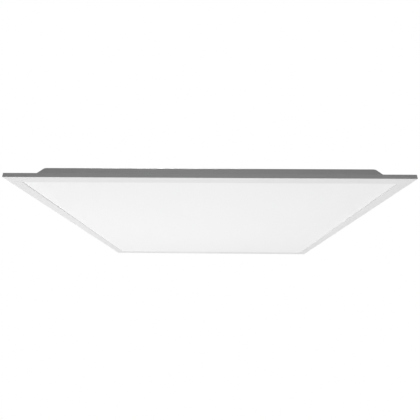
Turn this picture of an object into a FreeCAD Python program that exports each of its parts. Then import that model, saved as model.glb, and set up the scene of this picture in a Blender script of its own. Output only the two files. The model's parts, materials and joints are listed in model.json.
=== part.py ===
# Lay-in LED panel light for a two-foot ceiling grid, lit from behind.
#
# Four mitred rails make a shallow square frame round an opal diffuser plate. A pressed steel pan closes
# the back: its flange is screwed down inside the rim of the frame, and its sloping sides rise to a flat
# top that carries the LED boards on its inner face. A sheet-metal box on top of the pan holds the
# driver and a wiring compartment under one hinged cover. Clips that swing out over the ceiling's T-bars
# and lugs for suspension wires stand on the flange.
#
# Frame: millimetres, +Z up, origin at the centre of the underside, the light shining down.
# "Inset" is a distance inwards from the outer edge of the frame.

import FreeCAD
import Part
import math
import os
import re
import Sketcher

Vector = FreeCAD.Vector
X_AXIS = Vector(1, 0, 0)
Z_AXIS = Vector(0, 0, 1)

DIMENSIONS = {
    # Frame rails
    "panel_width": (603, "outer width and depth, to drop into a 609.6 mm grid module"),
    "frame_height": (6.8, "outer wall of the frame"),
    "bezel_width": (18.7, "visible white border round the diffuser"),
    "rail_wall": (1.2, "wall of the extruded rail"),
    "tube_reach": (10.4, "inset of the inner wall of the rail's tube"),
    "tube_top": (5, "top of the tube, where the pan's flange lies"),
    "mitre_gap": (0.06, "half the hairline gap between two rails"),
    "key_leg": (42, "length of a corner key's legs"),
    "fit_gap": (0.1, "clearance round a corner key"),
    "screw_row": (5.2, "inset of the row of screws"),
    "key_screw": (22, "distance of the corner screws from the corner"),
    "side_screw": (100, "distance of the side screws from the middle of a side"),
    "screw_bore": (1.5, "radius of the screws' holes in rails and keys"),
    # Optics
    "diffuser_inset": (11, "inset of the diffuser's edge"),
    "diffuser_sheet": (1.5, "thickness of the diffuser plate"),
    "seal_inset": (11, "inset of the foam strip's outer side"),
    "seal_width": (2.4, "width of the foam strip"),
    # Back pan
    "pan_sheet": (0.6, "steel of the pan"),
    "flange_inset": (1.5, "inset of the flange's edge"),
    "foot_inset": (14, "inset of the foot of the sloping side"),
    "brow_inset": (36, "inset of the pan's flat top"),
    "pan_height": (32.7, "top face of the pan"),
    "foot_corner": (28, "corner radius at the foot"),
    "brow_radius": (6, "bend between side and top"),
    "foot_radius": (2, "bend between side and flange"),
    "bead_width": (14, "width of a stiffening bead"),
    "bead_rise": (1.6, "height of a stiffening bead"),
    # LED boards
    "board_pitch": (105, "distance between boards"),
    "board_length": (500, "length of a board"),
    "board_width": (16, "width of a board"),
    "board_sheet": (1, "thickness of a board"),
    "lens_pitch": (105, "distance between lenses on a board"),
    "lens_radius": (9, "radius of a lens"),
    "lens_height": (5.5, "height of a lens"),
    "film_half": (256, "half the side of the reflector film"),
    "film_sheet": (0.3, "thickness of the reflector film"),
    "plug_spot": (243, "place of the connectors at the ends of the boards"),
    "plug_height": (4.5, "height of a board's connector"),
    "jumper_radius": (0.6, "radius of a wire between two boards"),
    # Driver box
    "box_length": (250, "length of the driver box"),
    "box_depth": (110, "depth of the driver box"),
    "box_height": (28, "height of the driver box over the pan"),
    "box_sheet": (0.8, "steel of the driver box and its cover"),
    "cover_gap": (0.3, "clearance between the walls' top edges and the cover"),
    "lip_depth": (3.6, "depth of the cover's lips below its plate"),
    "lip_gap": (0.4, "clearance between a lip and a wall"),
    "tab_level": (59.4, "underside of the front wall's nut tab"),
    "cover_screw_spot": (48, "distance of the cover's screw from the middle"),
    "ear_spot": (95, "distance of the fixing ears from the middle"),
    "ear_reach": (14, "length of a fixing ear"),
    "hinge_spot": (85, "distance of each hinge from the middle"),
    "hinge_out": (3.4, "distance of the hinge axis behind the rear wall"),
    "knuckle_radius": (2.1, "outer radius of a hinge knuckle"),
    "knuckle_length": (10, "length of a hinge knuckle"),
    "knuckle_gap": (0.4, "gap between neighbouring knuckles"),
    "pin_radius": (1.2, "radius of a hinge pin"),
    "pin_fit": (0.06, "clearance round a pin"),
    "knockout_radius": (11.1, "radius of a half-inch trade-size knockout"),
    "knockout_level": (12.6, "height of a knockout's centre over the pan"),
    "inlet_spot": (25, "distance of the inlets from the middle of the end wall"),
    "side_knockout": (85, "place of the knockout in the front wall"),
    "inlet_bore": (7, "radius of the bushing's bore"),
    "divider_spot": (36, "place of the wall beside the wiring compartment"),
    # Driver
    "driver_left": (-118, "left edge of the driver's circuit board"),
    "driver_right": (12, "right edge of the driver's circuit board"),
    "driver_front": (-52, "front edge of the driver's circuit board"),
    "driver_rear": (40, "rear edge of the driver's circuit board"),
    "standoff": (5.2, "height of the snap-in standoffs"),
    "driver_sheet": (1.6, "thickness of the driver's circuit board"),
    "wattage_spot": (-90, "place of the wattage selector"),
    "colour_spot": (-50, "place of the colour temperature selector"),
    "switch_length": (20, "length of a selector's body"),
    "switch_height": (9, "height of a selector's body"),
    "slider_travel": (4, "travel of a selector each way"),
    "lead_x": (24, "place of the output lead's grommet"),
    "lead_y": (28, "place of the output lead's grommet"),
    "lead_radius": (1.2, "radius of the output lead"),
    "inlet_height": (7, "height of the connector that takes the output lead"),
    "wire_radius": (1.1, "radius of a supply wire"),
    # Terminal block
    "block_left": (62, "left face of the terminal block"),
    "block_front": (-32, "front face of the terminal block"),
    "block_length": (26, "length of the terminal block"),
    "block_depth": (24, "depth of the terminal block"),
    "block_height": (13, "height of the terminal block"),
    "pole_pitch": (7.6, "distance between poles"),
    "lever_width": (6, "width of a lever"),
    "lever_length": (14, "length of a lever from its pivot"),
    "pivot_in": (6, "distance of the levers' pivot from the block's left face"),
    "pivot_up": (10.9, "height of the levers' pivot over the floor of the box"),
    # Clips and lugs
    "clip_inset": (7, "inset of a clip's pivot"),
    "clip_spot": (165, "distance of a clip's pivot from the middle of the side"),
    "clip_sheet": (1, "steel of a clip"),
    "clip_width": (12, "width of a clip"),
    "clip_height": (44, "top of a clip, over a 42 mm T-bar"),
    "clip_riser": (7, "distance of the riser's far face from the pivot"),
    "clip_reach": (20.6, "distance of the hook's far face from the pivot"),
    "clip_hook": (9, "depth of the hook"),
    "clip_collar": (1.3, "height of the rivet's collar, which lifts a clip over the frame's rim"),
    "clip_float": (0.2, "gap on either side of a clip's foot"),
    "rivet_radius": (1.7, "radius of a clip's rivet"),
    "lug_spot": (220, "distance of a lug from the middle of the side"),
    "lug_sheet": (1.2, "steel of a lug"),
    "lug_inset": (12.4, "inset of the lug's standing face"),
    "lug_width": (16, "width of a lug"),
    "lug_height": (24, "top of a lug"),
    "lug_level": (17, "height of the lug's hole"),
    "lug_bore": (2.8, "radius of the lug's hole"),
}

doc = FreeCAD.newDocument("led_panel_light")
sheet = doc.addObject("Spreadsheet::Sheet", "dims")
nodes = []


def fill_sheet():
    for row, (alias, (value, note)) in enumerate(DIMENSIONS.items(), 1):
        sheet.set(f"A{row}", alias)
        sheet.set(f"B{row}", str(value))
        sheet.set(f"C{row}", note)
        sheet.setAlias(f"B{row}", alias)
    doc.recompute()


# ---------------------------------------------------------------- expressions on the sheet


ALIAS_WORDS = re.compile(r"\b(" + "|".join(sorted(DIMENSIONS, key=len, reverse=True)) + r")\b")


def formula(text):
    """A formula in plain aliases, as an expression on the spreadsheet."""
    return ALIAS_WORDS.sub(r"dims.\1", str(text))


def value(text):
    return float(sheet.evalExpression(formula(text)))


def bind(item, prop, text):
    item.setExpression(prop, formula(text))


def place(item, x="0", y="0", z="0", angle=0, axis=Z_AXIS):
    item.Placement = FreeCAD.Placement(Vector(value(x), value(y), value(z)), FreeCAD.Rotation(axis, angle))
    for letter, text in zip("xyz", (x, y, z)):
        bind(item, f"Placement.Base.{letter}", text)
    return item


def node(item, label):
    """Names a finished sub-part, which is written to parts/LABEL.step."""
    item.Label = label
    nodes.append(item)
    return item


# ---------------------------------------------------------------- Part primitives and booleans


def box(size, corner):
    item = doc.addObject("Part::Box", "block")
    for prop, text in zip(("Length", "Width", "Height"), size):
        bind(item, prop, text)
    return place(item, *corner)


AIM = {"x": (Vector(0, 1, 0), 90), "y": (Vector(1, 0, 0), -90), "z": (Z_AXIS, 0)}


def cylinder(radius, height, base, along="z"):
    item = doc.addObject("Part::Cylinder", "round")
    bind(item, "Radius", radius)
    bind(item, "Height", height)
    axis, angle = AIM[along]
    return place(item, *base, angle=angle, axis=axis)


def fuse(*items):
    item = doc.addObject("Part::MultiFuse", "union")
    item.Shapes = list(items)
    return item


def cut(base, *tools):
    item = doc.addObject("Part::Cut", "cut")
    item.Base = base
    item.Tool = tools[0] if len(tools) == 1 else fuse(*tools)
    return item


def group(items):
    """Separate solids that share one node."""
    item = doc.addObject("Part::Compound", "group")
    item.Links = list(items)
    return item


def copy_of(master, x="0", y="0", z="0", angle=0):
    item = doc.addObject("App::Link", "copy")
    item.LinkedObject = master
    return place(item, x, y, z, angle)


def tube(points, radius):
    """A round lead along straight runs joined by arcs, each as large as its two runs allow."""
    spots = [Vector(*point) for point in points]
    edges = []
    bends = []
    start = spots[0]
    for before, corner, after in zip(spots, spots[1:], spots[2:]):
        back, ahead = before - corner, after - corner
        reach = 0.45 * min(back.Length, ahead.Length)
        turn = math.pi - back.getAngle(ahead)
        bend = reach / math.tan(turn / 2)
        bends.append(round(bend, 1))
        first = corner + back.normalize() * reach
        last = corner + ahead.normalize() * reach
        inward = (back + ahead).normalize()
        middle = corner + inward * (bend / math.cos(turn / 2) - bend)
        edges += [Part.LineSegment(start, first).toShape(), Part.Arc(first, middle, last).toShape()]
        start = last
    edges.append(Part.LineSegment(start, spots[-1]).toShape())
    path = Part.Wire(edges)
    section = Part.Wire(Part.Circle(spots[0], spots[1] - spots[0], radius).toShape())
    solid = path.makePipeShell([section], True, True)
    ratio = solid.Volume / (path.Length * math.pi * radius**2)
    print(f"tube: {path.Length:.1f} mm long, radius of bends {bends}, volume ratio {ratio:.4f}")
    return solid


# ---------------------------------------------------------------- PartDesign


def body(label):
    return node(doc.addObject("PartDesign::Body", label), label)


def sketch(owner, plane="XY_Plane", level="0"):
    item = owner.newObject("Sketcher::SketchObject", "outline")
    origin_plane = next(part for part in owner.Origin.OriginFeatures if part.Role == plane)
    item.AttachmentSupport = (origin_plane, "")
    item.MapMode = "FlatFace"
    bind(item, "AttachmentOffset.Base.z", level)
    return item


def pin_point(drawing, index, which, x, y):
    """Ties a point of a sketch to formulas for its two coordinates."""
    for kind, text in (("DistanceX", x), ("DistanceY", y)):
        number = drawing.addConstraint(Sketcher.Constraint(kind, -1, 1, index, which, value(text)))
        bind(drawing, f"Constraints[{number}]", text)


def pin_radius(drawing, index, radius):
    number = drawing.addConstraint(Sketcher.Constraint("Radius", index, value(radius)))
    bind(drawing, f"Constraints[{number}]", radius)


def polygon(drawing, corners):
    first = drawing.GeometryCount
    spots = [Vector(value(x), value(y), 0) for x, y in corners]
    count = len(spots)
    for number in range(count):
        drawing.addGeometry(Part.LineSegment(spots[number], spots[(number + 1) % count]))
    for number, (x, y) in enumerate(corners):
        follower = first + (number + 1) % count
        drawing.addConstraint(Sketcher.Constraint("Coincident", first + number, 2, follower, 1))
        pin_point(drawing, first + number, 1, x, y)
    return drawing


def rounded_rectangle(drawing, left, front, right, rear, radius):
    first = drawing.GeometryCount
    x0, y0, x1, y1, r = (value(text) for text in (left, front, right, rear, radius))
    ends = [
        ((x0 + r, y0), (x1 - r, y0)),
        ((x1, y0 + r), (x1, y1 - r)),
        ((x1 - r, y1), (x0 + r, y1)),
        ((x0, y1 - r), (x0, y0 + r)),
    ]
    for start, end in ends:
        drawing.addGeometry(Part.LineSegment(Vector(*start, 0), Vector(*end, 0)))
    centres = [(x1 - r, y0 + r), (x1 - r, y1 - r), (x0 + r, y1 - r), (x0 + r, y0 + r)]
    for quarter, centre in enumerate(centres):
        circle = Part.Circle(Vector(*centre, 0), Z_AXIS, r)
        begin = (quarter - 1) * math.pi / 2
        drawing.addGeometry(Part.ArcOfCircle(circle, begin, begin + math.pi / 2))
    for side in range(4):
        line, arc = first + side, first + 4 + side
        drawing.addConstraint(Sketcher.Constraint("Tangent", line, 2, arc, 1))
        drawing.addConstraint(Sketcher.Constraint("Tangent", arc, 2, first + (side + 1) % 4, 1))
        drawing.addConstraint(Sketcher.Constraint("Vertical" if side % 2 else "Horizontal", line))
        if side:
            drawing.addConstraint(Sketcher.Constraint("Equal", first + 4, arc))
    pin_radius(drawing, first + 4, radius)
    for side, text in enumerate((front, right, rear, left)):
        kind = "DistanceX" if side % 2 else "DistanceY"
        number = drawing.addConstraint(Sketcher.Constraint(kind, -1, 1, first + side, 1, value(text)))
        bind(drawing, f"Constraints[{number}]", text)
    return drawing


def slot(drawing, start, end, width):
    """A round-ended slot between two centres."""
    first = drawing.GeometryCount
    a, b = (Vector(value(x), value(y), 0) for x, y in (start, end))
    radius = value(width) / 2
    heading = math.atan2((b - a).y, (b - a).x)
    side = Vector(-math.sin(heading), math.cos(heading), 0) * radius
    ends = [Part.Circle(centre, Z_AXIS, radius) for centre in (a, b)]
    quarter = math.pi / 2
    drawing.addGeometry(Part.ArcOfCircle(ends[0], heading + quarter, heading + 3 * quarter))
    drawing.addGeometry(Part.LineSegment(a - side, b - side))
    drawing.addGeometry(Part.ArcOfCircle(ends[1], heading - quarter, heading + quarter))
    drawing.addGeometry(Part.LineSegment(b + side, a + side))
    for number in range(4):
        follower = first + (number + 1) % 4
        drawing.addConstraint(Sketcher.Constraint("Tangent", first + number, 2, follower, 1))
    drawing.addConstraint(Sketcher.Constraint("Equal", first, first + 2))
    pin_radius(drawing, first, f"({width}) / 2")
    pin_point(drawing, first, 3, *start)
    pin_point(drawing, first + 2, 3, *end)
    return drawing


def circles(drawing, centres, radius):
    first = drawing.GeometryCount
    for number, (x, y) in enumerate(centres):
        drawing.addGeometry(Part.Circle(Vector(value(x), value(y), 0), Z_AXIS, value(radius)))
        pin_point(drawing, first + number, 3, x, y)
        if number:
            drawing.addConstraint(Sketcher.Constraint("Equal", first, first + number))
    pin_radius(drawing, first, radius)
    return drawing


def extrude(owner, kind, drawing, length, backwards=False, taper=None):
    """A Pad or a Pocket. A Pad rises along the sketch's normal and a Pocket cuts against it."""
    before = owner.Tip.Shape.Volume if kind == "Pocket" else 0
    item = owner.newObject(f"PartDesign::{kind}", kind.lower())
    item.Profile = drawing
    bind(item, "Length", length)
    item.Reversed = backwards
    if taper:
        bind(item, "TaperAngle", taper)
    doc.recompute()
    if kind == "Pocket" and item.Shape.Volume > before - 1e-6:
        raise ValueError(f"a pocket of {owner.Label} cuts nothing")
    return item


def pad(owner, drawing, length, backwards=False, taper=None):
    return extrude(owner, "Pad", drawing, length, backwards, taper)


def pocket(owner, drawing, length, backwards=False, taper=None):
    return extrude(owner, "Pocket", drawing, length, backwards, taper)


def fillet(owner, radius, wanted):
    """Rounds the edges of the body's tip that the test picks."""
    doc.recompute()
    base = owner.Tip
    names = [f"Edge{number}" for number, edge in enumerate(base.Shape.Edges, 1) if wanted(edge)]
    item = owner.newObject("PartDesign::Fillet", "fillet")
    item.Base = (base, names)
    bind(item, "Radius", radius)
    doc.recompute()
    return item


def revolve(owner, drawing):
    item = owner.newObject("PartDesign::Revolution", "turned")
    item.Profile = drawing
    item.ReferenceAxis = (drawing, ["V_Axis"])
    item.Angle = 360
    doc.recompute()
    return item


def turned_master(name, corners):
    """A turned piece on +Z that groups copy. Corners are (radius, height)."""
    master = doc.addObject("PartDesign::Body", name)
    revolve(master, polygon(sketch(master, "XZ_Plane"), corners))
    return master


def runs_along(edge, direction):
    ends = edge.Vertexes
    if len(ends) < 2 or edge.Curve.TypeId != "Part::GeomLine":
        return False
    return (ends[1].Point - ends[0].Point).normalize().cross(direction).Length < 1e-6


def at(number, text):
    return abs(number - value(text)) < 1e-4


HALF = "panel_width / 2"
SIDES = {"front": 0, "right": 90, "rear": 180, "left": 270}
SIGNS = (("-", "-"), ("", "-"), ("-", ""), ("", ""))


def on_side(side, along, inset):
    """Plan position of a point by its inset from one side and its place along it."""
    row = f"({HALF} - ({inset}))"
    return {
        "front": (along, f"-{row}"),
        "right": (row, along),
        "rear": (along, row),
        "left": (f"-{row}", along),
    }[side]


# ---------------------------------------------------------------- frame


def rail_screw_places(side):
    """Distances of a rail's screws from its middle. Left and right rails also hold the lugs' screws."""
    places = ["0"]
    for sign in ("-", ""):
        places += [f"{sign}side_screw", f"{sign}({HALF} - key_screw)"]
        if side in ("left", "right"):
            places.append(f"{sign}lug_spot")
    return places


def make_rail(side):
    rail = body(f"frame_rail_{side}")
    edge = f"-{HALF}"
    profile = sketch(rail, "YZ_Plane", f"-{HALF}")
    polygon(
        profile,
        [
            (edge, "0"),
            (f"{edge} + bezel_width", "0"),
            (f"{edge} + bezel_width", "rail_wall"),
            (f"{edge} + tube_reach", "rail_wall"),
            (f"{edge} + tube_reach", "tube_top"),
            (f"{edge} + rail_wall", "tube_top"),
            (f"{edge} + rail_wall", "frame_height"),
            (edge, "frame_height"),
        ],
    )
    slot_inner = f"{edge} + tube_reach - rail_wall"
    polygon(
        profile,
        [
            (f"{edge} + rail_wall", "rail_wall"),
            (slot_inner, "rail_wall"),
            (slot_inner, "tube_top - rail_wall"),
            (f"{edge} + rail_wall", "tube_top - rail_wall"),
        ],
    )
    pad(rail, profile, "panel_width")

    def on_arris(line):
        spot = line.Vertexes[0].Point
        outside = at(spot.y, edge)
        on_lip = at(spot.y, f"{edge} + bezel_width") and at(spot.z, "0")
        return runs_along(line, X_AXIS) and (outside or on_lip)

    fillet(rail, "rail_wall / 3", on_arris)
    cut_level = sketch(rail, "XY_Plane", "frame_height + 1")
    beyond = "(bezel_width + 10)"
    for sign in ("-", ""):
        corner = f"{sign}({HALF} + 10 - mitre_gap)"
        inner = f"{sign}({HALF} - {beyond} - mitre_gap)"
        outer = f"{sign}({HALF} + {beyond})"
        points = [
            (corner, f"-({HALF} + 10)"),
            (outer, f"-({HALF} + 10)"),
            (outer, f"-({HALF} - {beyond})"),
            (inner, f"-({HALF} - {beyond})"),
        ]
        polygon(cut_level, points)
    pocket(rail, cut_level, "frame_height + 2")
    holes = sketch(rail, "XY_Plane", "tube_top")
    circles(holes, [(x, f"{edge} + screw_row") for x in rail_screw_places(side)], "screw_bore")
    if side in ("left", "right"):
        rivets = [(f"{sign}clip_spot", f"{edge} + clip_inset") for sign in ("-", "")]
        circles(holes, rivets, "rivet_radius + pin_fit")
    pocket(rail, holes, "rail_wall + 0.5")
    place(rail, angle=SIDES[side])


def make_corner_keys():
    """Flat L-shaped keys that lie inside the tubes of two neighbouring rails."""
    key = doc.addObject("PartDesign::Body", "corner_key")
    edge = f"-{HALF}"
    near = f"{edge} + rail_wall + fit_gap"
    far = f"{edge} + tube_reach - rail_wall - fit_gap"
    tip = f"{edge} + key_leg"
    plan = sketch(key, "XY_Plane", "rail_wall + fit_gap")
    polygon(plan, [(near, near), (tip, near), (tip, far), (far, far), (far, tip), (near, tip)])
    row, along = f"{edge} + screw_row", f"{edge} + key_screw"
    circles(plan, [(row, along), (along, row)], "screw_bore")
    pad(key, plan, "tube_top - 2 * rail_wall - 2 * fit_gap")
    node(group([copy_of(key, angle=angle) for angle in SIDES.values()]), "corner_keys")


def make_pan_screws():
    """Low-head self-tapping screws that hold the flange and the lugs to the frame."""
    head, shank = "frame_height - tube_top - pan_sheet", "3.4"
    screw = turned_master(
        "pan_screw",
        [
            ("0", f"-({shank})"),
            ("1.1", f"-({shank})"),
            ("1.4", f"-({shank}) + 0.4"),
            ("1.4", "0"),
            ("2.6", "0"),
            ("2.6", f"{head} - 0.4"),
            ("2.0", head),
            ("0", head),
        ],
    )
    seat = "tube_top + pan_sheet"
    copies = []
    for side in SIDES:
        for along in rail_screw_places(side):
            level = f"{seat} + lug_sheet" if "lug_spot" in along else seat
            copies.append(copy_of(screw, *on_side(side, along, "screw_row"), level))
    node(group(copies), "pan_screws")


# ---------------------------------------------------------------- optics


def make_diffuser():
    plate = body("diffuser_plate")
    reach = f"({HALF} - diffuser_inset)"
    outline = sketch(plate, "XY_Plane", "rail_wall")
    rounded_rectangle(outline, f"-{reach}", f"-{reach}", reach, reach, "2")
    pad(plate, outline, "diffuser_sheet")


def make_seal_strips():
    outer, inner = f"({HALF} - seal_inset)", f"({HALF} - seal_inset - seal_width)"
    low, height = "rail_wall + diffuser_sheet", "tube_top - rail_wall - diffuser_sheet"
    strips = []
    for start in (f"-{outer}", inner):
        strips.append(box((f"2 * {outer}", "seal_width", height), (f"-{outer}", start, low)))
        strips.append(box(("seal_width", f"2 * {inner} - 0.2", height), (start, f"-{inner} + 0.1", low)))
    node(group(strips), "seal_strips")


# ---------------------------------------------------------------- back pan

SLOPE = "atan((brow_inset - foot_inset) / (pan_height - tube_top - pan_sheet))"
WALL_ACROSS = f"pan_sheet / cos({SLOPE})"
INNER_FOOT = f"(foot_inset - pan_sheet * tan({SLOPE}) + {WALL_ACROSS})"
BEAD_START, BEAD_END = ("170", "95"), ("226", "218")


def board_rivet_places():
    """Two rivets at each end of a board, and two more where the driver box leaves room."""
    places = []
    for row in ROWS:
        spots = (-1.5, 1.5) if row == 0 else (-1.5, -0.5, 0.5, 1.5)
        places += [(f"{spot} * lens_pitch", f"{row} * board_pitch") for spot in spots]
    return places


def box_rivet_places():
    return [(f"{a}ear_spot", f"{b}(box_depth / 2 + ear_reach / 2)") for a, b in SIGNS]


EARTH_SPOT = ("50", "16")


def pan_form(name, slab_low, slab_height, level, inset, corner, brow, foot, bead):
    """One face of the pan as a solid: a slab, a tapered block with rounded brow and foot, and the beads."""
    form = doc.addObject("PartDesign::Body", name)
    slab = sketch(form, "XY_Plane", slab_low)
    rim = f"({HALF} - flange_inset)"
    rounded_rectangle(slab, f"-{rim}", f"-{rim}", rim, rim, "1")
    pad(form, slab, slab_height)
    block = sketch(form, "XY_Plane", level)
    reach = f"({HALF} - {inset})"
    rounded_rectangle(block, f"-{reach}", f"-{reach}", reach, reach, corner)
    rise = "(pan_height - tube_top - pan_sheet)"
    pad(form, block, rise, taper=f"-{SLOPE}")

    def around(height):
        def wanted(edge):
            bounds = edge.BoundBox
            flat = at(bounds.ZMin, height) and at(bounds.ZMax, height)
            spot = edge.Vertexes[0].Point
            return flat and max(abs(spot.x), abs(spot.y)) < value(f"{rim} - 5")

        return wanted

    fillet(form, brow, around(f"{level} + {rise}"))
    fillet(form, foot, around(level))
    beads = sketch(form, "XY_Plane", f"{level} + {rise}")
    for sign_x, sign_y in SIGNS:
        start, end = ((f"{sign_x}{x}", f"{sign_y}{y}") for x, y in (BEAD_START, BEAD_END))
        slot(beads, start, end, bead)
    for sign in ("", "-"):
        slot(beads, (f"{sign}190", "-60"), (f"{sign}190", "60"), bead)
        slot(beads, ("-60", f"{sign}160"), ("60", f"{sign}160"), bead)
    pad(form, beads, "bead_rise", taper="-45")
    return form


def make_back_pan():
    seat = "(tube_top + pan_sheet)"
    outer = pan_form(
        "pan_outer",
        "tube_top",
        "pan_sheet",
        seat,
        "foot_inset",
        "foot_corner",
        "brow_radius",
        "foot_radius",
        "bead_width",
    )
    inner = pan_form(
        "pan_inner",
        "tube_top - 1",
        "1",
        "tube_top",
        INNER_FOOT,
        f"foot_corner + foot_inset - {INNER_FOOT}",
        "brow_radius - pan_sheet",
        "foot_radius + pan_sheet",
        "bead_width - 0.5",
    )
    drills = []
    screw_spots = [on_side(side, along, "screw_row") for side in SIDES for along in rail_screw_places(side)]
    for radius, spots, level in (
        ("screw_bore + 0.2", screw_spots, "tube_top"),
        ("rivet_radius + 0.1", clip_places(), "tube_top"),
        ("1.6", board_rivet_places(), "pan_height - pan_sheet"),
        ("1.8", box_rivet_places(), "pan_height - pan_sheet"),
        ("4", [("lead_x", "lead_y")], "pan_height - pan_sheet"),
        ("1.7", [EARTH_SPOT], "pan_height - pan_sheet"),
    ):
        drills += [cylinder(radius, "pan_sheet + 1", (x, y, f"{level} - 0.5")) for x, y in spots]
    node(cut(outer, inner, *drills), "back_pan")


# ---------------------------------------------------------------- LED boards

BOARD_TOP = "(pan_height - pan_sheet)"
BOARD_FACE = f"({BOARD_TOP} - board_sheet)"
FILM_FACE = f"({BOARD_FACE} - film_sheet)"
ROWS = range(-2, 3)
LENS_SPOTS = [f"{number} * lens_pitch" for number in ROWS]
JUMPER_LEVEL = f"{BOARD_FACE} - 1.9"
LEAD_LEVEL = f"({BOARD_FACE} - inlet_height + 2.1)"


def row_y(row):
    return f"{row} * board_pitch"


def make_led_board(number, row):
    board = body(f"led_board_{number}")
    outline = sketch(board, "XY_Plane", BOARD_FACE)
    left, right = "-board_length / 2", "board_length / 2"
    low, high = f"{row_y(row)} - board_width / 2", f"{row_y(row)} + board_width / 2"
    rounded_rectangle(outline, left, low, right, high, "1")
    holes = [spot for spot in board_rivet_places() if spot[1] == row_y(row)]
    circles(outline, holes, "1.6")
    pad(board, outline, "board_sheet")


def make_reflector_film():
    film = body("reflector_sheet")
    outline = sketch(film, "XY_Plane", FILM_FACE)
    rounded_rectangle(outline, "-film_half", "-film_half", "film_half", "film_half", "18")
    circles(outline, [(x, row_y(row)) for row in ROWS for x in LENS_SPOTS], "lens_radius + 0.3")
    circles(outline, board_rivet_places(), "1.6")
    circles(outline, [("lead_x", "lead_y - 3")], "7")
    for row in ROWS:
        rounded_rectangle(
            outline, "plug_spot - 4.5", f"{row_y(row)} - 4", "plug_spot + 4.5", f"{row_y(row)} + 4", "0.5"
        )
    rounded_rectangle(outline, "lead_x - 4.5", "-4.5", "lead_x + 4.5", "4.5", "0.5")
    pad(film, outline, "film_sheet")


def make_lenses():
    """Bowl lenses that spread each LED's light over the diffuser. They open towards the board."""
    lens = turned_master(
        "lens",
        [
            ("3.2", "0"),
            ("lens_radius", "0"),
            ("lens_radius", "-1.2"),
            ("lens_radius - 1.2", "-3.4"),
            ("lens_radius - 3.2", "-lens_height + 0.4"),
            ("lens_radius - 5", "-lens_height"),
            ("1.5", "-lens_height + 0.5"),
            ("0", "-lens_height + 1"),
            ("0", "-2.8"),
            ("1.6", "-2.6"),
            ("2.7", "-1.8"),
        ],
    )
    for number, row in enumerate(ROWS, 1):
        lenses = [copy_of(lens, x, row_y(row), BOARD_FACE) for x in LENS_SPOTS]
        node(group(lenses), f"led_lenses_{number}")


def make_led_packages():
    chip = group([box(("3", "3", "0.7"), ("-1.5", "-1.5", "-0.7"))])
    spots = [(x, row_y(row)) for row in ROWS for x in LENS_SPOTS]
    node(group([copy_of(chip, x, y, BOARD_FACE) for x, y in spots]), "led_packages")


def make_board_connectors():
    """Two-pole connectors at the boards' ends and one for the driver's lead on the middle board."""
    items = []
    low = f"{BOARD_FACE} - plug_height"
    for row in ROWS:
        plug = box(("8", "7", "plug_height"), ("plug_spot - 4", f"{row_y(row)} - 3.5", low))
        starts = [(f"plug_spot {side} 1.7", f"{row_y(row)} - 4", JUMPER_LEVEL) for side in "-+"]
        bores = [cylinder("jumper_radius + 0.1", "8", start, "y") for start in starts]
        items.append(cut(plug, *bores))
    inlet = box(("8", "8", "inlet_height"), ("lead_x - 4", "-4", f"{BOARD_FACE} - inlet_height"))
    bore = cylinder("lead_radius + 0.1", "5.5", ("lead_x", "-1", LEAD_LEVEL), "y")
    items.append(cut(inlet, bore))
    node(group(items), "board_connectors")


def make_jumper_wires():
    wires = []
    for row in range(-2, 2):
        for side in "-+":
            start = (f"plug_spot {side} 1.7", f"{row_y(row)} + 1", JUMPER_LEVEL)
            wires.append(cylinder("jumper_radius", "board_pitch - 2", start, "y"))
    node(group(wires), "jumper_wires")


def make_board_rivets():
    stack = f"(pan_height - {FILM_FACE})"
    rivet = turned_master(
        "board_rivet",
        [
            ("0", "-0.8"),
            ("2", "-0.8"),
            ("2.6", "-0.4"),
            ("2.6", "0"),
            ("1.5", "0"),
            ("1.5", stack),
            ("2.4", stack),
            ("2.2", f"{stack} + 0.8"),
            ("0", f"{stack} + 0.8"),
        ],
    )
    node(group([copy_of(rivet, x, y, FILM_FACE) for x, y in board_rivet_places()]), "board_rivets")


# ---------------------------------------------------------------- driver box

FLOOR = "(pan_height + box_sheet)"
RIM = "(pan_height + box_height)"
COVER_LOW = f"({RIM} + cover_gap)"
COVER_TOP = f"({COVER_LOW} + box_sheet)"
HINGE_Y = "(box_depth / 2 + hinge_out)"
HINGE_Z = f"({COVER_TOP} - knuckle_radius)"
KNOCKOUT_Z = "(pan_height + knockout_level)"
SWITCH_Z = f"({FLOOR} + standoff + driver_sheet + switch_height / 2)"
BORE = "pin_radius + pin_fit"


def knuckle(owner, start, length, leaf):
    """A hinge barrel along X with a flat leaf that ties it to its panel."""
    drawing = sketch(owner, "YZ_Plane", start)
    circles(drawing, [(HINGE_Y, HINGE_Z)], "knuckle_radius")
    pad(owner, drawing, length)
    tie = sketch(owner, "YZ_Plane", start)
    polygon(tie, leaf)
    pad(owner, tie, length)
    bore = sketch(owner, "YZ_Plane", f"{start} - 0.1")
    circles(bore, [(HINGE_Y, HINGE_Z)], BORE)
    pocket(owner, bore, f"{length} + 0.2", backwards=True)


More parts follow.
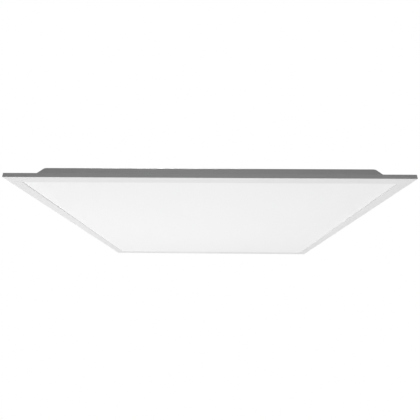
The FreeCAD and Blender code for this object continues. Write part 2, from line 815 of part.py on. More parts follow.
def make_driver_box():
    base = body("driver_box_base")
    x, y = "(box_length / 2)", "(box_depth / 2)"
    outline = sketch(base, "XY_Plane", "pan_height")
    rounded_rectangle(outline, f"-{x}", f"-{y}", x, y, "1.2")
    pad(base, outline, "box_height")
    hollow = sketch(base, "XY_Plane", RIM)
    inner_x, inner_y = f"({x} - box_sheet)", f"({y} - box_sheet)"
    rounded_rectangle(hollow, f"-{inner_x}", f"-{inner_y}", inner_x, inner_y, "0.4")
    pocket(base, hollow, "box_height - box_sheet")

    ears = sketch(base, "XY_Plane", "pan_height")
    for sign in ("-", ""):
        left, right = f"{sign}ear_spot - 8", f"{sign}ear_spot + 8"
        rounded_rectangle(ears, left, f"-{y} - ear_reach", right, f"{y} + ear_reach", "3")
    pad(base, ears, "box_sheet")

    divider = sketch(base, "YZ_Plane", "divider_spot")
    rounded_rectangle(divider, f"-{y} + 0.4", "pan_height + 0.4", f"{y} - 0.4", f"{RIM} - 3", "0.3")
    rounded_rectangle(divider, "block_front - 1", f"{WIRE_Z} - 3", "block_front + 18", f"{WIRE_Z} + 3", "2")
    pad(base, divider, "box_sheet")

    tab = sketch(base, "XY_Plane", "tab_level")
    rounded_rectangle(tab, "-11", f"-{y} + 0.4", "11", "-cover_screw_spot + 6", "1")
    circles(tab, [("0", "-cover_screw_spot")], "2.3")
    pad(base, tab, "box_sheet")

    low = f"{HINGE_Z} - knuckle_radius"
    high = f"{low} + box_sheet"
    leaf = [(f"{y} - 0.4", low), (HINGE_Y, low), (HINGE_Y, high), (f"{y} - 0.4", high)]
    for sign in ("-", ""):
        for step in ("-", "+"):
            start = f"{sign}hinge_spot - knuckle_length / 2 {step} (knuckle_length + knuckle_gap)"
            knuckle(base, start, "knuckle_length", leaf)

    floor_holes = sketch(base, "XY_Plane", f"{FLOOR} + 1")
    circles(floor_holes, box_rivet_places(), "1.8")
    circles(floor_holes, [("lead_x", "lead_y")], "4")
    circles(floor_holes, [EARTH_SPOT], "1.7")
    pocket(base, floor_holes, "box_sheet + 1.5")

    end_holes = sketch(base, "YZ_Plane", f"{x} + 1")
    circles(end_holes, [("inlet_spot", KNOCKOUT_Z), ("-inlet_spot", KNOCKOUT_Z)], "knockout_radius")
    pocket(base, end_holes, "box_sheet + 1.4")
    front_holes = sketch(base, "XZ_Plane", f"{y} + 1")
    circles(front_holes, [("side_knockout", KNOCKOUT_Z)], "knockout_radius")
    for spot in ("wattage_spot", "colour_spot"):
        left, right = f"{spot} - slider_travel - 3", f"{spot} + slider_travel + 3"
        rounded_rectangle(front_holes, left, f"{SWITCH_Z} - 2", right, f"{SWITCH_Z} + 2", "0.5")
    pocket(base, front_holes, "box_sheet + 1.4")
    vents = sketch(base, "YZ_Plane", f"-{x} - 1")
    for number in range(-3, 4):
        slot(vents, (f"{number} * 12", "pan_height + 8"), (f"{number} * 12", "pan_height + 20"), "3")
    pocket(base, vents, "box_sheet + 1.4", backwards=True)


def make_box_rivets():
    rivet = turned_master(
        "box_rivet",
        [
            ("0", "-0.7 - pan_sheet"),
            ("2.2", "-0.7 - pan_sheet"),
            ("2.4", "-pan_sheet"),
            ("1.7", "-pan_sheet"),
            ("1.7", "box_sheet"),
            ("3.4", "box_sheet"),
            ("3.2", "box_sheet + 0.7"),
            ("2", "box_sheet + 1.2"),
            ("0", "box_sheet + 1.2"),
        ],
    )
    node(group([copy_of(rivet, x, y, "pan_height") for x, y in box_rivet_places()]), "driver_box_rivets")


def make_cover():
    cover = body("driver_box_cover")
    x = "(box_length / 2 + lip_gap)"
    y = "(box_depth / 2 + lip_gap)"
    low = f"{COVER_LOW} - lip_depth"
    outline = sketch(cover, "XY_Plane", low)
    rear = "box_depth / 2"
    rounded_rectangle(outline, f"-{x} - box_sheet", f"-{y} - box_sheet", f"{x} + box_sheet", rear, "1")
    pad(cover, outline, "lip_depth + box_sheet")
    fillet(cover, "0.6", lambda edge: at(edge.BoundBox.ZMin, COVER_TOP) and edge.BoundBox.YMin < 50)
    hollow = sketch(cover, "XY_Plane", low)
    rounded_rectangle(hollow, f"-{x}", f"-{y}", x, f"{rear} + 5", "0.4")
    pocket(cover, hollow, "lip_depth", backwards=True)

    finger_tab = sketch(cover, "XY_Plane", low)
    rounded_rectangle(finger_tab, "-14", f"-{y} - 8", "14", f"-{y} - 0.2", "2")
    pad(cover, finger_tab, "box_sheet")
    top = COVER_TOP
    thin = f"{COVER_LOW}"
    leaf = [(f"{rear} - 2", thin), (HINGE_Y, thin), (HINGE_Y, top), (f"{rear} - 2", top)]
    for sign in ("-", ""):
        knuckle(cover, f"{sign}hinge_spot - knuckle_length / 2", "knuckle_length", leaf)
    screw_hole = sketch(cover, "XY_Plane", f"{COVER_TOP} + 1")
    circles(screw_hole, [("0", "-cover_screw_spot")], "1.8")
    pocket(cover, screw_hole, "box_sheet + 1.5")


def make_hinge_pins():
    length = "(3 * knuckle_length + 2 * knuckle_gap)"
    pins = []
    for sign in ("-", ""):
        start = (f"{sign}hinge_spot - {length} / 2 - 0.6", HINGE_Y, HINGE_Z)
        shaft = cylinder("pin_radius", f"{length} + 0.6", start, "x")
        head = cylinder("pin_radius + 0.6", "0.5", start, "x")
        pins.append(fuse(shaft, head))
    node(group(pins), "cover_hinge_pins")


def make_cover_fastener():
    """A captive screw in the cover and the sheet-metal nut that is pushed on to the base's tab."""
    screw = turned_master(
        "cover_screw",
        [
            ("0", "-8"),
            ("1", "-8"),
            ("1.6", "-7"),
            ("1.6", "0"),
            ("3.4", "0"),
            ("3.4", "0.9"),
            ("2.6", "1.9"),
            ("0", "2.2"),
        ],
    )
    node(place(screw, "0", "-cover_screw_spot", COVER_TOP), "cover_screw")
    upper = box(("12", "14", "0.5"), ("-6", "-cover_screw_spot - 4.5", "tab_level + box_sheet"))
    lower = box(("12", "14", "0.5"), ("-6", "-cover_screw_spot - 4.5", "tab_level - 0.5"))
    back = box(("12", "0.5", "box_sheet + 1"), ("-6", "-cover_screw_spot + 9", "tab_level - 0.5"))
    collar = cylinder("3.2", "2", ("0", "-cover_screw_spot", "tab_level - 2.4"))
    bore = cylinder("2.2", "6", ("0", "-cover_screw_spot", "tab_level - 3"))
    wide = box(("12", "3.4", "0.5"), ("-6", "-cover_screw_spot + 6", "tab_level - 0.5"))
    node(cut(fuse(upper, lower, back, collar, wide), bore), "cover_clip_nut")


def make_knockouts():
    """Pry-out discs that still hang in their holes by two thin bridges, and the cord bushing."""
    disc, reach = "knockout_radius - 0.15", "knockout_radius - 0.03"
    thick = "0.5"
    end_x = f"box_length / 2 - (box_sheet + {thick}) / 2"
    front_y = f"-box_depth / 2 + (box_sheet - {thick}) / 2"
    low = f"{KNOCKOUT_Z} - ({reach})"
    end_bridge = box((thick, "1.6", f"2 * ({reach})"), (end_x, "inlet_spot - 0.8", low))
    front_bridge = box(("1.6", thick, f"2 * ({reach})"), ("side_knockout - 0.8", front_y, low))
    discs = [
        fuse(cylinder(disc, thick, (end_x, "inlet_spot", KNOCKOUT_Z), "x"), end_bridge),
        fuse(cylinder(disc, thick, ("side_knockout", front_y, KNOCKOUT_Z), "y"), front_bridge),
    ]
    node(group(discs), "knockout_discs")

    bushing = body("cable_bushing")
    wall = "box_length / 2"
    revolve(
        bushing,
        polygon(
            sketch(bushing, "XZ_Plane"),
            [
                ("inlet_bore", "-6"),
                ("10.2", "-6"),
                ("11.4", "-box_sheet - 1.6"),
                ("11.4", "-box_sheet"),
                ("knockout_radius - 0.05", "-box_sheet"),
                ("knockout_radius - 0.05", "0"),
                ("11.8", "0"),
                ("11.8", "1.6"),
                ("10.8", "2.6"),
                ("inlet_bore + 0.8", "2.6"),
                ("inlet_bore", "2"),
            ],
        ),
    )
    place(bushing, wall, "-inlet_spot", KNOCKOUT_Z, 90, Vector(0, 1, 0))


# ---------------------------------------------------------------- driver

BOARD_LEVEL = f"({FLOOR} + standoff)"
DRIVER_FACE = f"({BOARD_LEVEL} + driver_sheet)"
WIRE_Z = f"({DRIVER_FACE} + 4)"
STANDOFFS = [
    (x, y)
    for x in ("driver_left + 6", "driver_right - 6")
    for y in ("driver_front + 13", "driver_rear - 5")
]


def make_driver_board():
    board = body("driver_board")
    outline = sketch(board, "XY_Plane", BOARD_LEVEL)
    rounded_rectangle(outline, "driver_left", "driver_front", "driver_right", "driver_rear", "1")
    circles(outline, STANDOFFS, "1.6")
    pad(board, outline, "driver_sheet")
    post = turned_master(
        "standoff",
        [
            ("0", "0"),
            ("4", "0"),
            ("3", "1"),
            ("3", "standoff"),
            ("1.5", "standoff"),
            ("1.5", "standoff + driver_sheet"),
            ("2.2", "standoff + driver_sheet"),
            ("1", "standoff + driver_sheet + 2.4"),
            ("0", "standoff + driver_sheet + 2.4"),
        ],
    )
    node(group([copy_of(post, x, y, FLOOR) for x, y in STANDOFFS]), "board_standoffs")


def make_driver_parts():
    core = [
        box(("30", "8", "18"), ("-74", "-4", DRIVER_FACE)),
        box(("30", "22", "4"), ("-74", "-11", f"{DRIVER_FACE} + 1.5")),
        box(("30", "22", "4"), ("-74", "-11", f"{DRIVER_FACE} + 12.5")),
    ]
    winding = cylinder("10", "11.8", ("-59", "0", f"{DRIVER_FACE} + 3"))
    node(fuse(*core, winding), "transformer")

    bulk = cylinder("8", "17", ("-103", "-24", DRIVER_FACE))
    spots = (("-103", "-4"), ("-16", "24"), ("-30", "24"))
    smoothing = [cylinder("6.2", "16", (x, y, DRIVER_FACE)) for x, y in spots]
    capacitors = [bulk, *smoothing]
    capacitors.append(box(("16", "7", "12"), ("-22", "-30", DRIVER_FACE)))
    node(group(capacitors), "capacitors")

    spine = box(("44", "2", "17"), ("-96", "30", DRIVER_FACE))
    foot = box(("44", "6", "2"), ("-96", "24", DRIVER_FACE))
    fins = [box(("1.2", "5", "17"), (f"-96 + {number} * 6.1", "32", DRIVER_FACE)) for number in range(8)]
    chips = [box(("10", "4", "14"), (x, "26", f"{DRIVER_FACE} + 2")) for x in ("-92", "-72")]
    node(fuse(spine, foot, *fins, *chips), "heat_sink")

    supply = box(("9", "14", "8"), ("driver_right - 10", "block_front + 1.2", DRIVER_FACE))
    starts = [("driver_right - 6", y, WIRE_Z) for y in pole_places()[:2]]
    ports = [cylinder("wire_radius + 0.1", "6", start, "x") for start in starts]
    output = box(("9", "9", "8"), ("driver_right - 10", "lead_y - 4.5", DRIVER_FACE))
    port = cylinder("lead_radius + 0.1", "6", ("driver_right - 6", "lead_y", WIRE_Z), "x")
    node(group([cut(supply, *ports), cut(output, port)]), "driver_connectors")


def pole_places():
    middle = "block_front + block_depth / 2"
    return [f"{middle} + {number} * pole_pitch" for number in (-1, 0, 1)]


BLOCK_WIRE_Z = f"({FLOOR} + 4.6)"
PIVOT_X = "(block_left + pivot_in)"
PIVOT_Z = f"({FLOOR} + pivot_up)"


def make_terminal_block():
    block = body("terminal_block")
    outline = sketch(block, "XY_Plane", FLOOR)
    left, front = "block_left", "block_front"
    rounded_rectangle(outline, left, front, f"{left} + block_length", f"{front} + block_depth", "0.8")
    pad(block, outline, "block_height")
    channels = sketch(block, "XY_Plane", f"{FLOOR} + block_height")
    for y in pole_places():
        near, far = f"{y} - lever_width / 2 - 0.3", f"{y} + lever_width / 2 + 0.3"
        rounded_rectangle(channels, f"{PIVOT_X} - 2.8", near, f"{PIVOT_X} + lever_length + 0.6", far, "0.2")
    pocket(block, channels, "block_height - pivot_up + 2.8")
    axle = sketch(block, "XZ_Plane", f"-{front} - 0.3")
    circles(axle, [(PIVOT_X, PIVOT_Z)], "1")
    pad(block, axle, "block_depth - 0.6", backwards=True)
    for plane_x, depth, radius, side in (
        (f"{left} + block_length + 1", "13", "1.6", False),
        (f"{left} - 1", "9", "wire_radius + 0.1", True),
    ):
        entries = sketch(block, "YZ_Plane", plane_x)
        circles(entries, [(y, BLOCK_WIRE_Z) for y in pole_places()], radius)
        pocket(block, entries, depth, backwards=side)


def make_terminal_levers():
    for number, y in enumerate(pole_places(), 1):
        lever = body(f"terminal_lever_{number}")
        top = f"({FLOOR} + block_height)"
        start = f"-({y}) - lever_width / 2"
        hub = sketch(lever, "XZ_Plane", start)
        circles(hub, [(PIVOT_X, PIVOT_Z)], "2.4")
        pad(lever, hub, "lever_width")
        arm = sketch(lever, "XZ_Plane", start)
        tip = f"{PIVOT_X} + lever_length"
        upper = f"{top} - 0.1"
        corners = [(PIVOT_X, f"{top} - 2"), (tip, f"{top} - 1.4"), (tip, upper), (PIVOT_X, upper)]
        polygon(arm, corners)
        pad(lever, arm, "lever_width")
        bore = sketch(lever, "XZ_Plane", f"{start} - 0.1")
        circles(bore, [(PIVOT_X, PIVOT_Z)], "1.08")
        pocket(lever, bore, "lever_width + 0.2", backwards=True)


def lead(label, points, radius):
    """A lead by its path. It follows the sheet only when the file is run, so its corners are read here."""
    item = doc.addObject("Part::Feature", label)
    item.Shape = tube([tuple(value(text) for text in point) for point in points], value(radius))
    node(item, label)


def make_leads():
    inside = "block_left + 7"
    for label, y in zip(("live_lead", "neutral_lead"), pole_places()):
        points = [
            (inside, y, BLOCK_WIRE_Z),
            ("block_left - 6", y, BLOCK_WIRE_Z),
            ("block_left - 20", y, WIRE_Z),
            ("driver_right + 14", y, f"{WIRE_Z} + 0.5"),
            ("driver_right - 5", y, WIRE_Z),
        ]
        lead(label, points, "wire_radius")
    y = pole_places()[2]
    points = [
        (inside, y, BLOCK_WIRE_Z),
        ("block_left - 8", y, BLOCK_WIRE_Z),
        (EARTH_SPOT[0], f"{y} + 10", f"{FLOOR} + 1.6"),
        (EARTH_SPOT[0], f"{EARTH_SPOT[1]} - 6", f"{FLOOR} + 1.6"),
    ]
    lead("earth_lead", points, "wire_radius")
    points = [
        ("driver_right - 5", "lead_y", WIRE_Z),
        ("lead_x", "lead_y", WIRE_Z),
        ("lead_x", "lead_y", f"{LEAD_LEVEL} - 3.2"),
        ("lead_x", "lead_y - 15", f"{LEAD_LEVEL} - 3.2"),
        ("lead_x", "6", LEAD_LEVEL),
        ("lead_x", "1", LEAD_LEVEL),
    ]
    lead("output_lead", points, "lead_radius")

    screw = turned_master(
        "earth_screw",
        [
            ("0", "-2"),
            ("1.5", "-2"),
            ("1.5", "1"),
            ("4.4", "1"),
            ("4.4", "2"),
            ("3.2", "2"),
            ("3.2", "4"),
            ("2.6", "4.4"),
            ("0", "4.4"),
        ],
    )
    place(screw, *EARTH_SPOT, FLOOR)
    x, y = EARTH_SPOT
    mouth = f"{y} - 10"
    ring = cylinder("4.2", "1", (x, y, FLOOR))
    barrel = cylinder("1.6", "6", (x, mouth, f"{FLOOR} + 1.6"), "y")
    neck = box(("4", "4", "1"), (f"{x} - 2", f"{y} - 6", FLOOR))
    base = box(("4", "6", "1.6"), (f"{x} - 2", mouth, FLOOR))
    hole = cylinder("1.6", "3", (x, y, f"{FLOOR} - 1"))
    socket = cylinder("wire_radius + 0.1", "5", (x, f"{mouth} - 0.5", f"{FLOOR} + 1.6"), "y")
    node(group([screw, cut(fuse(ring, barrel, neck, base), hole, socket)]), "earth_terminal")

    grommet = body("lead_grommet")
    revolve(
        grommet,
        polygon(
            sketch(grommet, "XZ_Plane"),
            [
                ("lead_radius + 0.1", f"{BOARD_TOP} - 0.9"),
                ("5.4", f"{BOARD_TOP} - 0.9"),
                ("5.4", BOARD_TOP),
                ("3.95", BOARD_TOP),
                ("3.95", FLOOR),
                ("5.4", FLOOR),
                ("5.4", f"{FLOOR} + 0.8"),
                ("4.6", f"{FLOOR} + 1.4"),
                ("lead_radius + 0.1", f"{FLOOR} + 1.4"),
            ],
        ),
    )
    place(grommet, "lead_x", "lead_y", "0")


def make_switches():
    housings = []
    for label, spot in (("wattage_slider", "wattage_spot"), ("colour_slider", "colour_spot")):
        front = "driver_front - 1.6"
        housing = box(
            ("switch_length", "8", "switch_height"), (f"{spot} - switch_length / 2", front, DRIVER_FACE)
        )
        slit = box(
            ("2 * slider_travel + 5", "5", "3.2"),
            (f"{spot} - slider_travel - 2.5", f"{front} - 0.1", f"{SWITCH_Z} - 1.6"),
        )
        housings.append(cut(housing, slit))
        stem = box(("4", "7.6", "2.4"), (f"{spot} - 2", f"{front} - 3.4", f"{SWITCH_Z} - 1.2"))
        grip = box(("5", "1.6", "3.2"), (f"{spot} - 2.5", "-box_depth / 2 - 2.4", f"{SWITCH_Z} - 1.6"))
        node(fuse(stem, grip), label)
    node(group(housings), "switch_bodies")


# ---------------------------------------------------------------- clips and lugs


def clip_places():
    sides = ("left", "right")
    return [on_side(side, f"{sign}clip_spot", "clip_inset") for side in sides for sign in ("-", "")]


CLIP_FOOT = "(tube_top + pan_sheet + clip_collar + clip_float)"


def make_clips():
    """Each clip is stowed along the flange and swings out through a right angle over its T-bar."""
    half = "(clip_width / 2)"
    for side in ("left", "right"):
        for end, sign in (("front", "-"), ("rear", "")):
            clip = body(f"tbar_clip_{end}_{side}")
            profile = sketch(clip, "YZ_Plane", f"-{half}")
            riser, reach, metal = "clip_riser", "clip_reach", "clip_sheet"
            top = f"clip_height - {CLIP_FOOT}"
            polygon(
                profile,
                [
                    ("0", "0"),
                    (riser, "0"),
                    (riser, f"{top} - {metal}"),
                    (f"{reach} - {metal}", f"{top} - {metal}"),
                    (f"{reach} - {metal}", f"{top} - clip_hook"),
                    (reach, f"{top} - clip_hook"),
                    (reach, top),
                    (f"{riser} - {metal}", top),
                    (f"{riser} - {metal}", metal),
                    ("0", metal),
                ],
            )
            pad(clip, profile, "clip_width")
            folds = {("clip_riser", "0"), ("clip_riser - clip_sheet", top), ("clip_reach", top)}

            def on_fold(edge):
                spot = edge.Vertexes[0].Point
                return runs_along(edge, X_AXIS) and any(at(spot.y, y) and at(spot.z, z) for y, z in folds)

            fillet(clip, "1.4", on_fold)
            eye = sketch(clip, "XY_Plane", "0")
            circles(eye, [("0", "0")], half)
            pad(clip, eye, metal)
            bore = sketch(clip, "XY_Plane", f"{metal} + 1")
            circles(bore, [("0", "0")], "rivet_radius + pin_fit")
            pocket(clip, bore, f"{metal} + 2")
            x, y = on_side(side, f"{sign}clip_spot", "clip_inset")
            place(clip, x, y, CLIP_FOOT, 0 if end == "front" else 180)

    under, flange = "(tube_top - rail_wall)", "(tube_top + pan_sheet)"
    seat = f"{CLIP_FOOT} + clip_sheet + clip_float"
    rivet = turned_master(
        "clip_rivet",
        [
            ("0", f"{under} - 0.9"),
            ("1.7", f"{under} - 0.9"),
            ("2.1", under),
            ("rivet_radius", under),
            ("rivet_radius", flange),
            ("2.9", flange),
            ("2.9", f"{flange} + clip_collar"),
            ("rivet_radius", f"{flange} + clip_collar"),
            ("rivet_radius", seat),
            ("3.2", seat),
            ("3", f"{seat} + 0.7"),
            ("1.8", f"{seat} + 1.2"),
            ("0", f"{seat} + 1.2"),
        ],
    )
    node(group([copy_of(rivet, x, y) for x, y in clip_places()]), "clip_rivets")


def make_lugs():
    """Folded lugs for suspension wires, each held to the flange by one screw."""
    for side, turn in (("left", 180), ("right", 0)):
        for end, sign in (("front", "-"), ("rear", "")):
            lug = body(f"hanger_lug_{end}_{side}")
            profile = sketch(lug, "XZ_Plane", "-lug_width / 2")
            foot, face = "screw_row - 2", "lug_inset"
            outer, inner = f"{HALF} - ({foot})", f"{HALF} - {face}"
            low, high = "tube_top + pan_sheet", "lug_height"
            polygon(
                profile,
                [
                    (outer, low),
                    (outer, f"{low} + lug_sheet"),
                    (f"{inner} + lug_sheet", f"{low} + lug_sheet"),
                    (f"{inner} + lug_sheet", high),
                    (inner, high),
                    (inner, low),
                ],
            )
            pad(lug, profile, "lug_width")

            def on_fold(edge):
                spot = edge.Vertexes[0].Point
                return runs_along(edge, Vector(0, 1, 0)) and at(spot.x, inner) and at(spot.z, low)

            fillet(lug, "1.8", on_fold)
            fillet(lug, "5", lambda edge: runs_along(edge, X_AXIS) and at(edge.BoundBox.ZMin, high))
            wire_hole = sketch(lug, "YZ_Plane", f"{inner} - 1")
            circles(wire_hole, [("0", "lug_level")], "lug_bore")
            pocket(lug, wire_hole, "lug_sheet + 2", backwards=True)
            screw_hole = sketch(lug, "XY_Plane", f"{low} + lug_sheet + 1")
            circles(screw_hole, [(f"{HALF} - screw_row", "0")], "1.6")
            pocket(lug, screw_hole, "lug_sheet + 1.5")
            place(lug, "0", f"{sign}lug_spot", "0", turn)


# ---------------------------------------------------------------- build


def check_and_export():
    doc.recompute()
    for item in doc.Objects:
        if "Invalid" in item.State or "Error" in item.State:
            raise ValueError(f"{item.Name} ({item.Label}) did not build: {item.State}")
    os.makedirs("parts", exist_ok=True)
    for item in nodes:
        shape = Part.getShape(item) if item.TypeId == "App::Link" else item.Shape
        if shape.isNull() or not shape.isValid() or not shape.Solids:
            raise ValueError(f"{item.Label} has no valid solid")
        bounds = shape.BoundBox
        size = f"{bounds.XLength:.1f} x {bounds.YLength:.1f} x {bounds.ZLength:.1f}"
        print(f"{item.Label}: {len(shape.Solids)} solid(s), {size} mm, {shape.Volume:.1f} mm3")
        shape.exportStep(f"parts/{item.Label}.step")


fill_sheet()
for side_name in SIDES:
    make_rail(side_name)
make_corner_keys()
make_pan_screws()
make_diffuser()
make_seal_strips()
make_back_pan()
for board_number, board_row in enumerate(ROWS, 1):
    make_led_board(board_number, board_row)
make_reflector_film()
make_lenses()
make_led_packages()
make_board_connectors()
make_jumper_wires()
make_board_rivets()
make_driver_box()
make_box_rivets()
make_cover()
make_hinge_pins()
make_cover_fastener()
make_knockouts()
make_driver_board()
make_driver_parts()
make_terminal_block()
make_terminal_levers()
make_leads()
make_switches()
make_clips()
make_lugs()
check_and_export()
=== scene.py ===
"""Looks for a lay-in LED panel light: materials, fasteners, driver parts, plain studio light and camera."""

import json
import math
import random

import bmesh
import bpy
from mathutils import Matrix, Vector


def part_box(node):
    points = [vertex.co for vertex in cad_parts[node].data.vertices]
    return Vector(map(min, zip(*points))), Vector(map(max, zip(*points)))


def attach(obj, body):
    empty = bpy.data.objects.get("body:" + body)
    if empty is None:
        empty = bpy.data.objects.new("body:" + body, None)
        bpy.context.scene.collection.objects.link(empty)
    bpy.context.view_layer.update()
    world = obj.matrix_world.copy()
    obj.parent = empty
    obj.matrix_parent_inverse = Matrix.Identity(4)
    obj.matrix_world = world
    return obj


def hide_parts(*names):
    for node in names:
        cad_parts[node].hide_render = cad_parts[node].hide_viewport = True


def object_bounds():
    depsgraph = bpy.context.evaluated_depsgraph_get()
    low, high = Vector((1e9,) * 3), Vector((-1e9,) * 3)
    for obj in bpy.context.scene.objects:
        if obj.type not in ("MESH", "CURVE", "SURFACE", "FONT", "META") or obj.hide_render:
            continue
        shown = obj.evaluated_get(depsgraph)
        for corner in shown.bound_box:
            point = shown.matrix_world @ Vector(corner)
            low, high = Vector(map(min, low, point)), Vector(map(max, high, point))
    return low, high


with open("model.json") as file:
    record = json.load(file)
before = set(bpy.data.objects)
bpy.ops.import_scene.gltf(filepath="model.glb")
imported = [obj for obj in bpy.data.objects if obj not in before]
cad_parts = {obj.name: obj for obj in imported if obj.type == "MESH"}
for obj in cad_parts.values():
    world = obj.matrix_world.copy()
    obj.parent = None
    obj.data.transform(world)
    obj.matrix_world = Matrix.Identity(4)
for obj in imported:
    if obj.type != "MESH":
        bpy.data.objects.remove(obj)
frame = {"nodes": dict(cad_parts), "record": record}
cad_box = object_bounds()

# The frame, the floor and the lights are in metres. Profiles and the places of pieces are in millimetres.
MM = 0.001
MICRON = 0.000001
WELD = 1e-7  # vertices nearer than this are one
SHARP_ANGLE = 38  # degrees; a steeper edge stays sharp


# ---------------------------------------------------------------- shader helpers


class Shader:
    """A node material built a line at a time around one Principled shader."""

    def __init__(self, name, color, roughness, metallic=0.0, **sockets):
        self.material = bpy.data.materials.new(name)
        self.material.use_nodes = True
        self.tree = self.material.node_tree
        self.shader = self.tree.nodes["Principled BSDF"]
        self.color = (*color, 1.0)
        self.set("Base Color", self.color)
        self.set("Roughness", roughness)
        self.set("Metallic", metallic)
        for socket, value in sockets.items():
            self.set(socket.replace("_", " "), value)
        self.where = self.node("ShaderNodeTexCoord").outputs["Object"]
        self.normal = None

    def set(self, socket, value):
        self.shader.inputs[socket].default_value = value

    def node(self, kind, **settings):
        item = self.tree.nodes.new(kind)
        for key, value in settings.items():
            setattr(item, key, value)
        return item

    def link(self, source, target):
        self.tree.links.new(source, target)

    def noise(self, scale, detail=3.0, stretch=(1, 1, 1)):
        """Noise with about `scale` features to the metre, fewer along a way whose stretch is under 1."""
        mapping = self.node("ShaderNodeMapping")
        mapping.inputs["Scale"].default_value = stretch
        self.link(self.where, mapping.inputs["Vector"])
        texture = self.node("ShaderNodeTexNoise")
        texture.inputs["Scale"].default_value = scale
        texture.inputs["Detail"].default_value = detail
        self.link(mapping.outputs["Vector"], texture.inputs["Vector"])
        return texture.outputs["Fac"]

    def spots(self, scale):
        """Distance from the middle of the nearest of about `scale` cells to the metre."""
        texture = self.node("ShaderNodeTexVoronoi")
        texture.inputs["Scale"].default_value = scale
        self.link(self.where, texture.inputs["Vector"])
        return texture.outputs["Distance"]

    def remap(self, value, low, high, to_low, to_high):
        item = self.node("ShaderNodeMapRange")
        for socket, number in zip(("From Min", "From Max", "To Min", "To Max"), (low, high, to_low, to_high)):
            item.inputs[socket].default_value = number
        self.link(value, item.inputs["Value"])
        return item.outputs["Result"]

    def tint(self, value, low, high, at_low, at_high, color):
        """Mixes in another colour, by a share that runs from at_low to at_high as the value rises."""
        mix = self.node("ShaderNodeMix", data_type="RGBA")
        mix.inputs["A"].default_value = self.color
        mix.inputs["B"].default_value = (*color, 1.0)
        base = self.shader.inputs["Base Color"]
        if base.is_linked:
            self.link(base.links[0].from_socket, mix.inputs["A"])
        self.link(self.remap(value, low, high, at_low, at_high), mix.inputs["Factor"])
        self.link(mix.outputs["Result"], base)

    def rough(self, value, low, high):
        self.link(self.remap(value, 0.3, 0.7, low, high), self.shader.inputs["Roughness"])

    def bump(self, value, depth):
        """Adds relief, its depth in metres, on top of any there already."""
        item = self.node("ShaderNodeBump")
        item.inputs["Distance"].default_value = depth
        self.link(value, item.inputs["Height"])
        if self.normal:
            self.link(self.normal, item.inputs["Normal"])
        self.normal = item.outputs["Normal"]
        self.link(self.normal, self.shader.inputs["Normal"])

    def soften(self, radius):
        """Rounds the arrises in the shading by a radius in metres; called before any relief."""
        bevel = self.node("ShaderNodeBevel", samples=4)
        bevel.inputs["Radius"].default_value = radius
        self.normal = bevel.outputs["Normal"]
        self.link(self.normal, self.shader.inputs["Normal"])


# ---------------------------------------------------------------- materials


def powder_coat(name, color, peel=1.0):
    """White powder coat: a fine orange peel, faint clouding and a satin gloss."""
    coat = Shader(name, color, 0.42, Specular_IOR_Level=0.45)
    coat.soften(350 * MICRON)
    coat.tint(coat.noise(9, 4), 0.35, 0.7, 0.0, 0.3, [part * 0.965 for part in color])
    coat.rough(coat.noise(60, 3), 0.43, 0.47)
    coat.bump(coat.noise(900, 2), 30 * MICRON * peel)
    coat.bump(coat.noise(2600, 1), 12 * MICRON * peel)
    return coat.material


def opal_sheet():
    """Extruded opal acrylic with a matt, finely frosted face."""
    opal = Shader("opal_acrylic", (0.935, 0.935, 0.935), 0.5, Specular_IOR_Level=0.35)
    opal.set("Subsurface Weight", 0.12)
    opal.set("Subsurface Scale", 4 * MM)
    opal.set("Subsurface Radius", (1.0, 1.0, 1.0))
    opal.tint(opal.noise(5, 2), 0.35, 0.7, 0.0, 0.3, (0.92, 0.92, 0.92))
    opal.rough(opal.noise(400, 2), 0.46, 0.58)
    opal.bump(opal.noise(3200, 2), 10 * MICRON)
    return opal.material


def zinc_plate():
    """Bright zinc on cold-rolled steel: soft rolling streaks, a bluish cast and fine spangle."""
    zinc = Shader("zinc_plate", (0.66, 0.68, 0.70), 0.32, metallic=1.0)
    zinc.soften(300 * MICRON)
    zinc.tint(zinc.noise(120, 3), 0.35, 0.7, 0.0, 0.5, (0.56, 0.585, 0.62))
    zinc.tint(zinc.spots(700), 0.0, 0.6, 0.25, 0.0, (0.78, 0.79, 0.8))
    zinc.rough(zinc.noise(350, 3, stretch=(1, 1, 0.15)), 0.26, 0.42)
    zinc.bump(zinc.noise(1500, 2, stretch=(1, 1, 0.1)), 10 * MICRON)
    return zinc.material


def closed_cell_foam():
    """Off-white foam, pitted by the cells cut open at its skin, with painted shade darkening each pit."""
    foam = Shader("foam", (0.8, 0.8, 0.78), 0.9)
    # painted shade: the colour darkens towards the middle of each cell, where the bump below sinks the pit
    foam.tint(foam.spots(1400), 0.0, 0.5, 0.35, 0.0, (0.6, 0.6, 0.57))
    foam.bump(foam.spots(1400), 120 * MICRON)
    return foam.material


def phenolic_board():
    """Pressed brown laminate with pale fibres, darker where it soaked up flux."""
    board = Shader("circuit_board", (0.42, 0.29, 0.12), 0.45)
    board.soften(200 * MICRON)
    board.tint(board.noise(35, 4), 0.4, 0.7, 0.0, 0.6, (0.33, 0.21, 0.08))
    board.tint(board.noise(700, 2, stretch=(1, 0.12, 1)), 0.5, 0.75, 0.0, 0.3, (0.55, 0.41, 0.2))
    board.rough(board.noise(50, 3), 0.35, 0.55)
    board.bump(board.noise(900, 2, stretch=(1, 0.15, 1)), 15 * MICRON)
    return board.material


def ferrite_core():
    """Sintered ferrite: near black, with fine lighter specks painted into its colour as a crystalline glint
    (painted highlight).
    """
    core = Shader("ferrite", (0.055, 0.055, 0.06), 0.5)
    core.soften(300 * MICRON)
    # painted highlight: lighter specks in the base colour stand in for glints off the crystals
    core.tint(core.spots(2600), 0.0, 0.35, 0.5, 0.0, (0.12, 0.12, 0.125))
    core.rough(core.noise(1500, 2), 0.35, 0.6)
    core.bump(core.noise(2200, 2), 20 * MICRON)
    return core.material


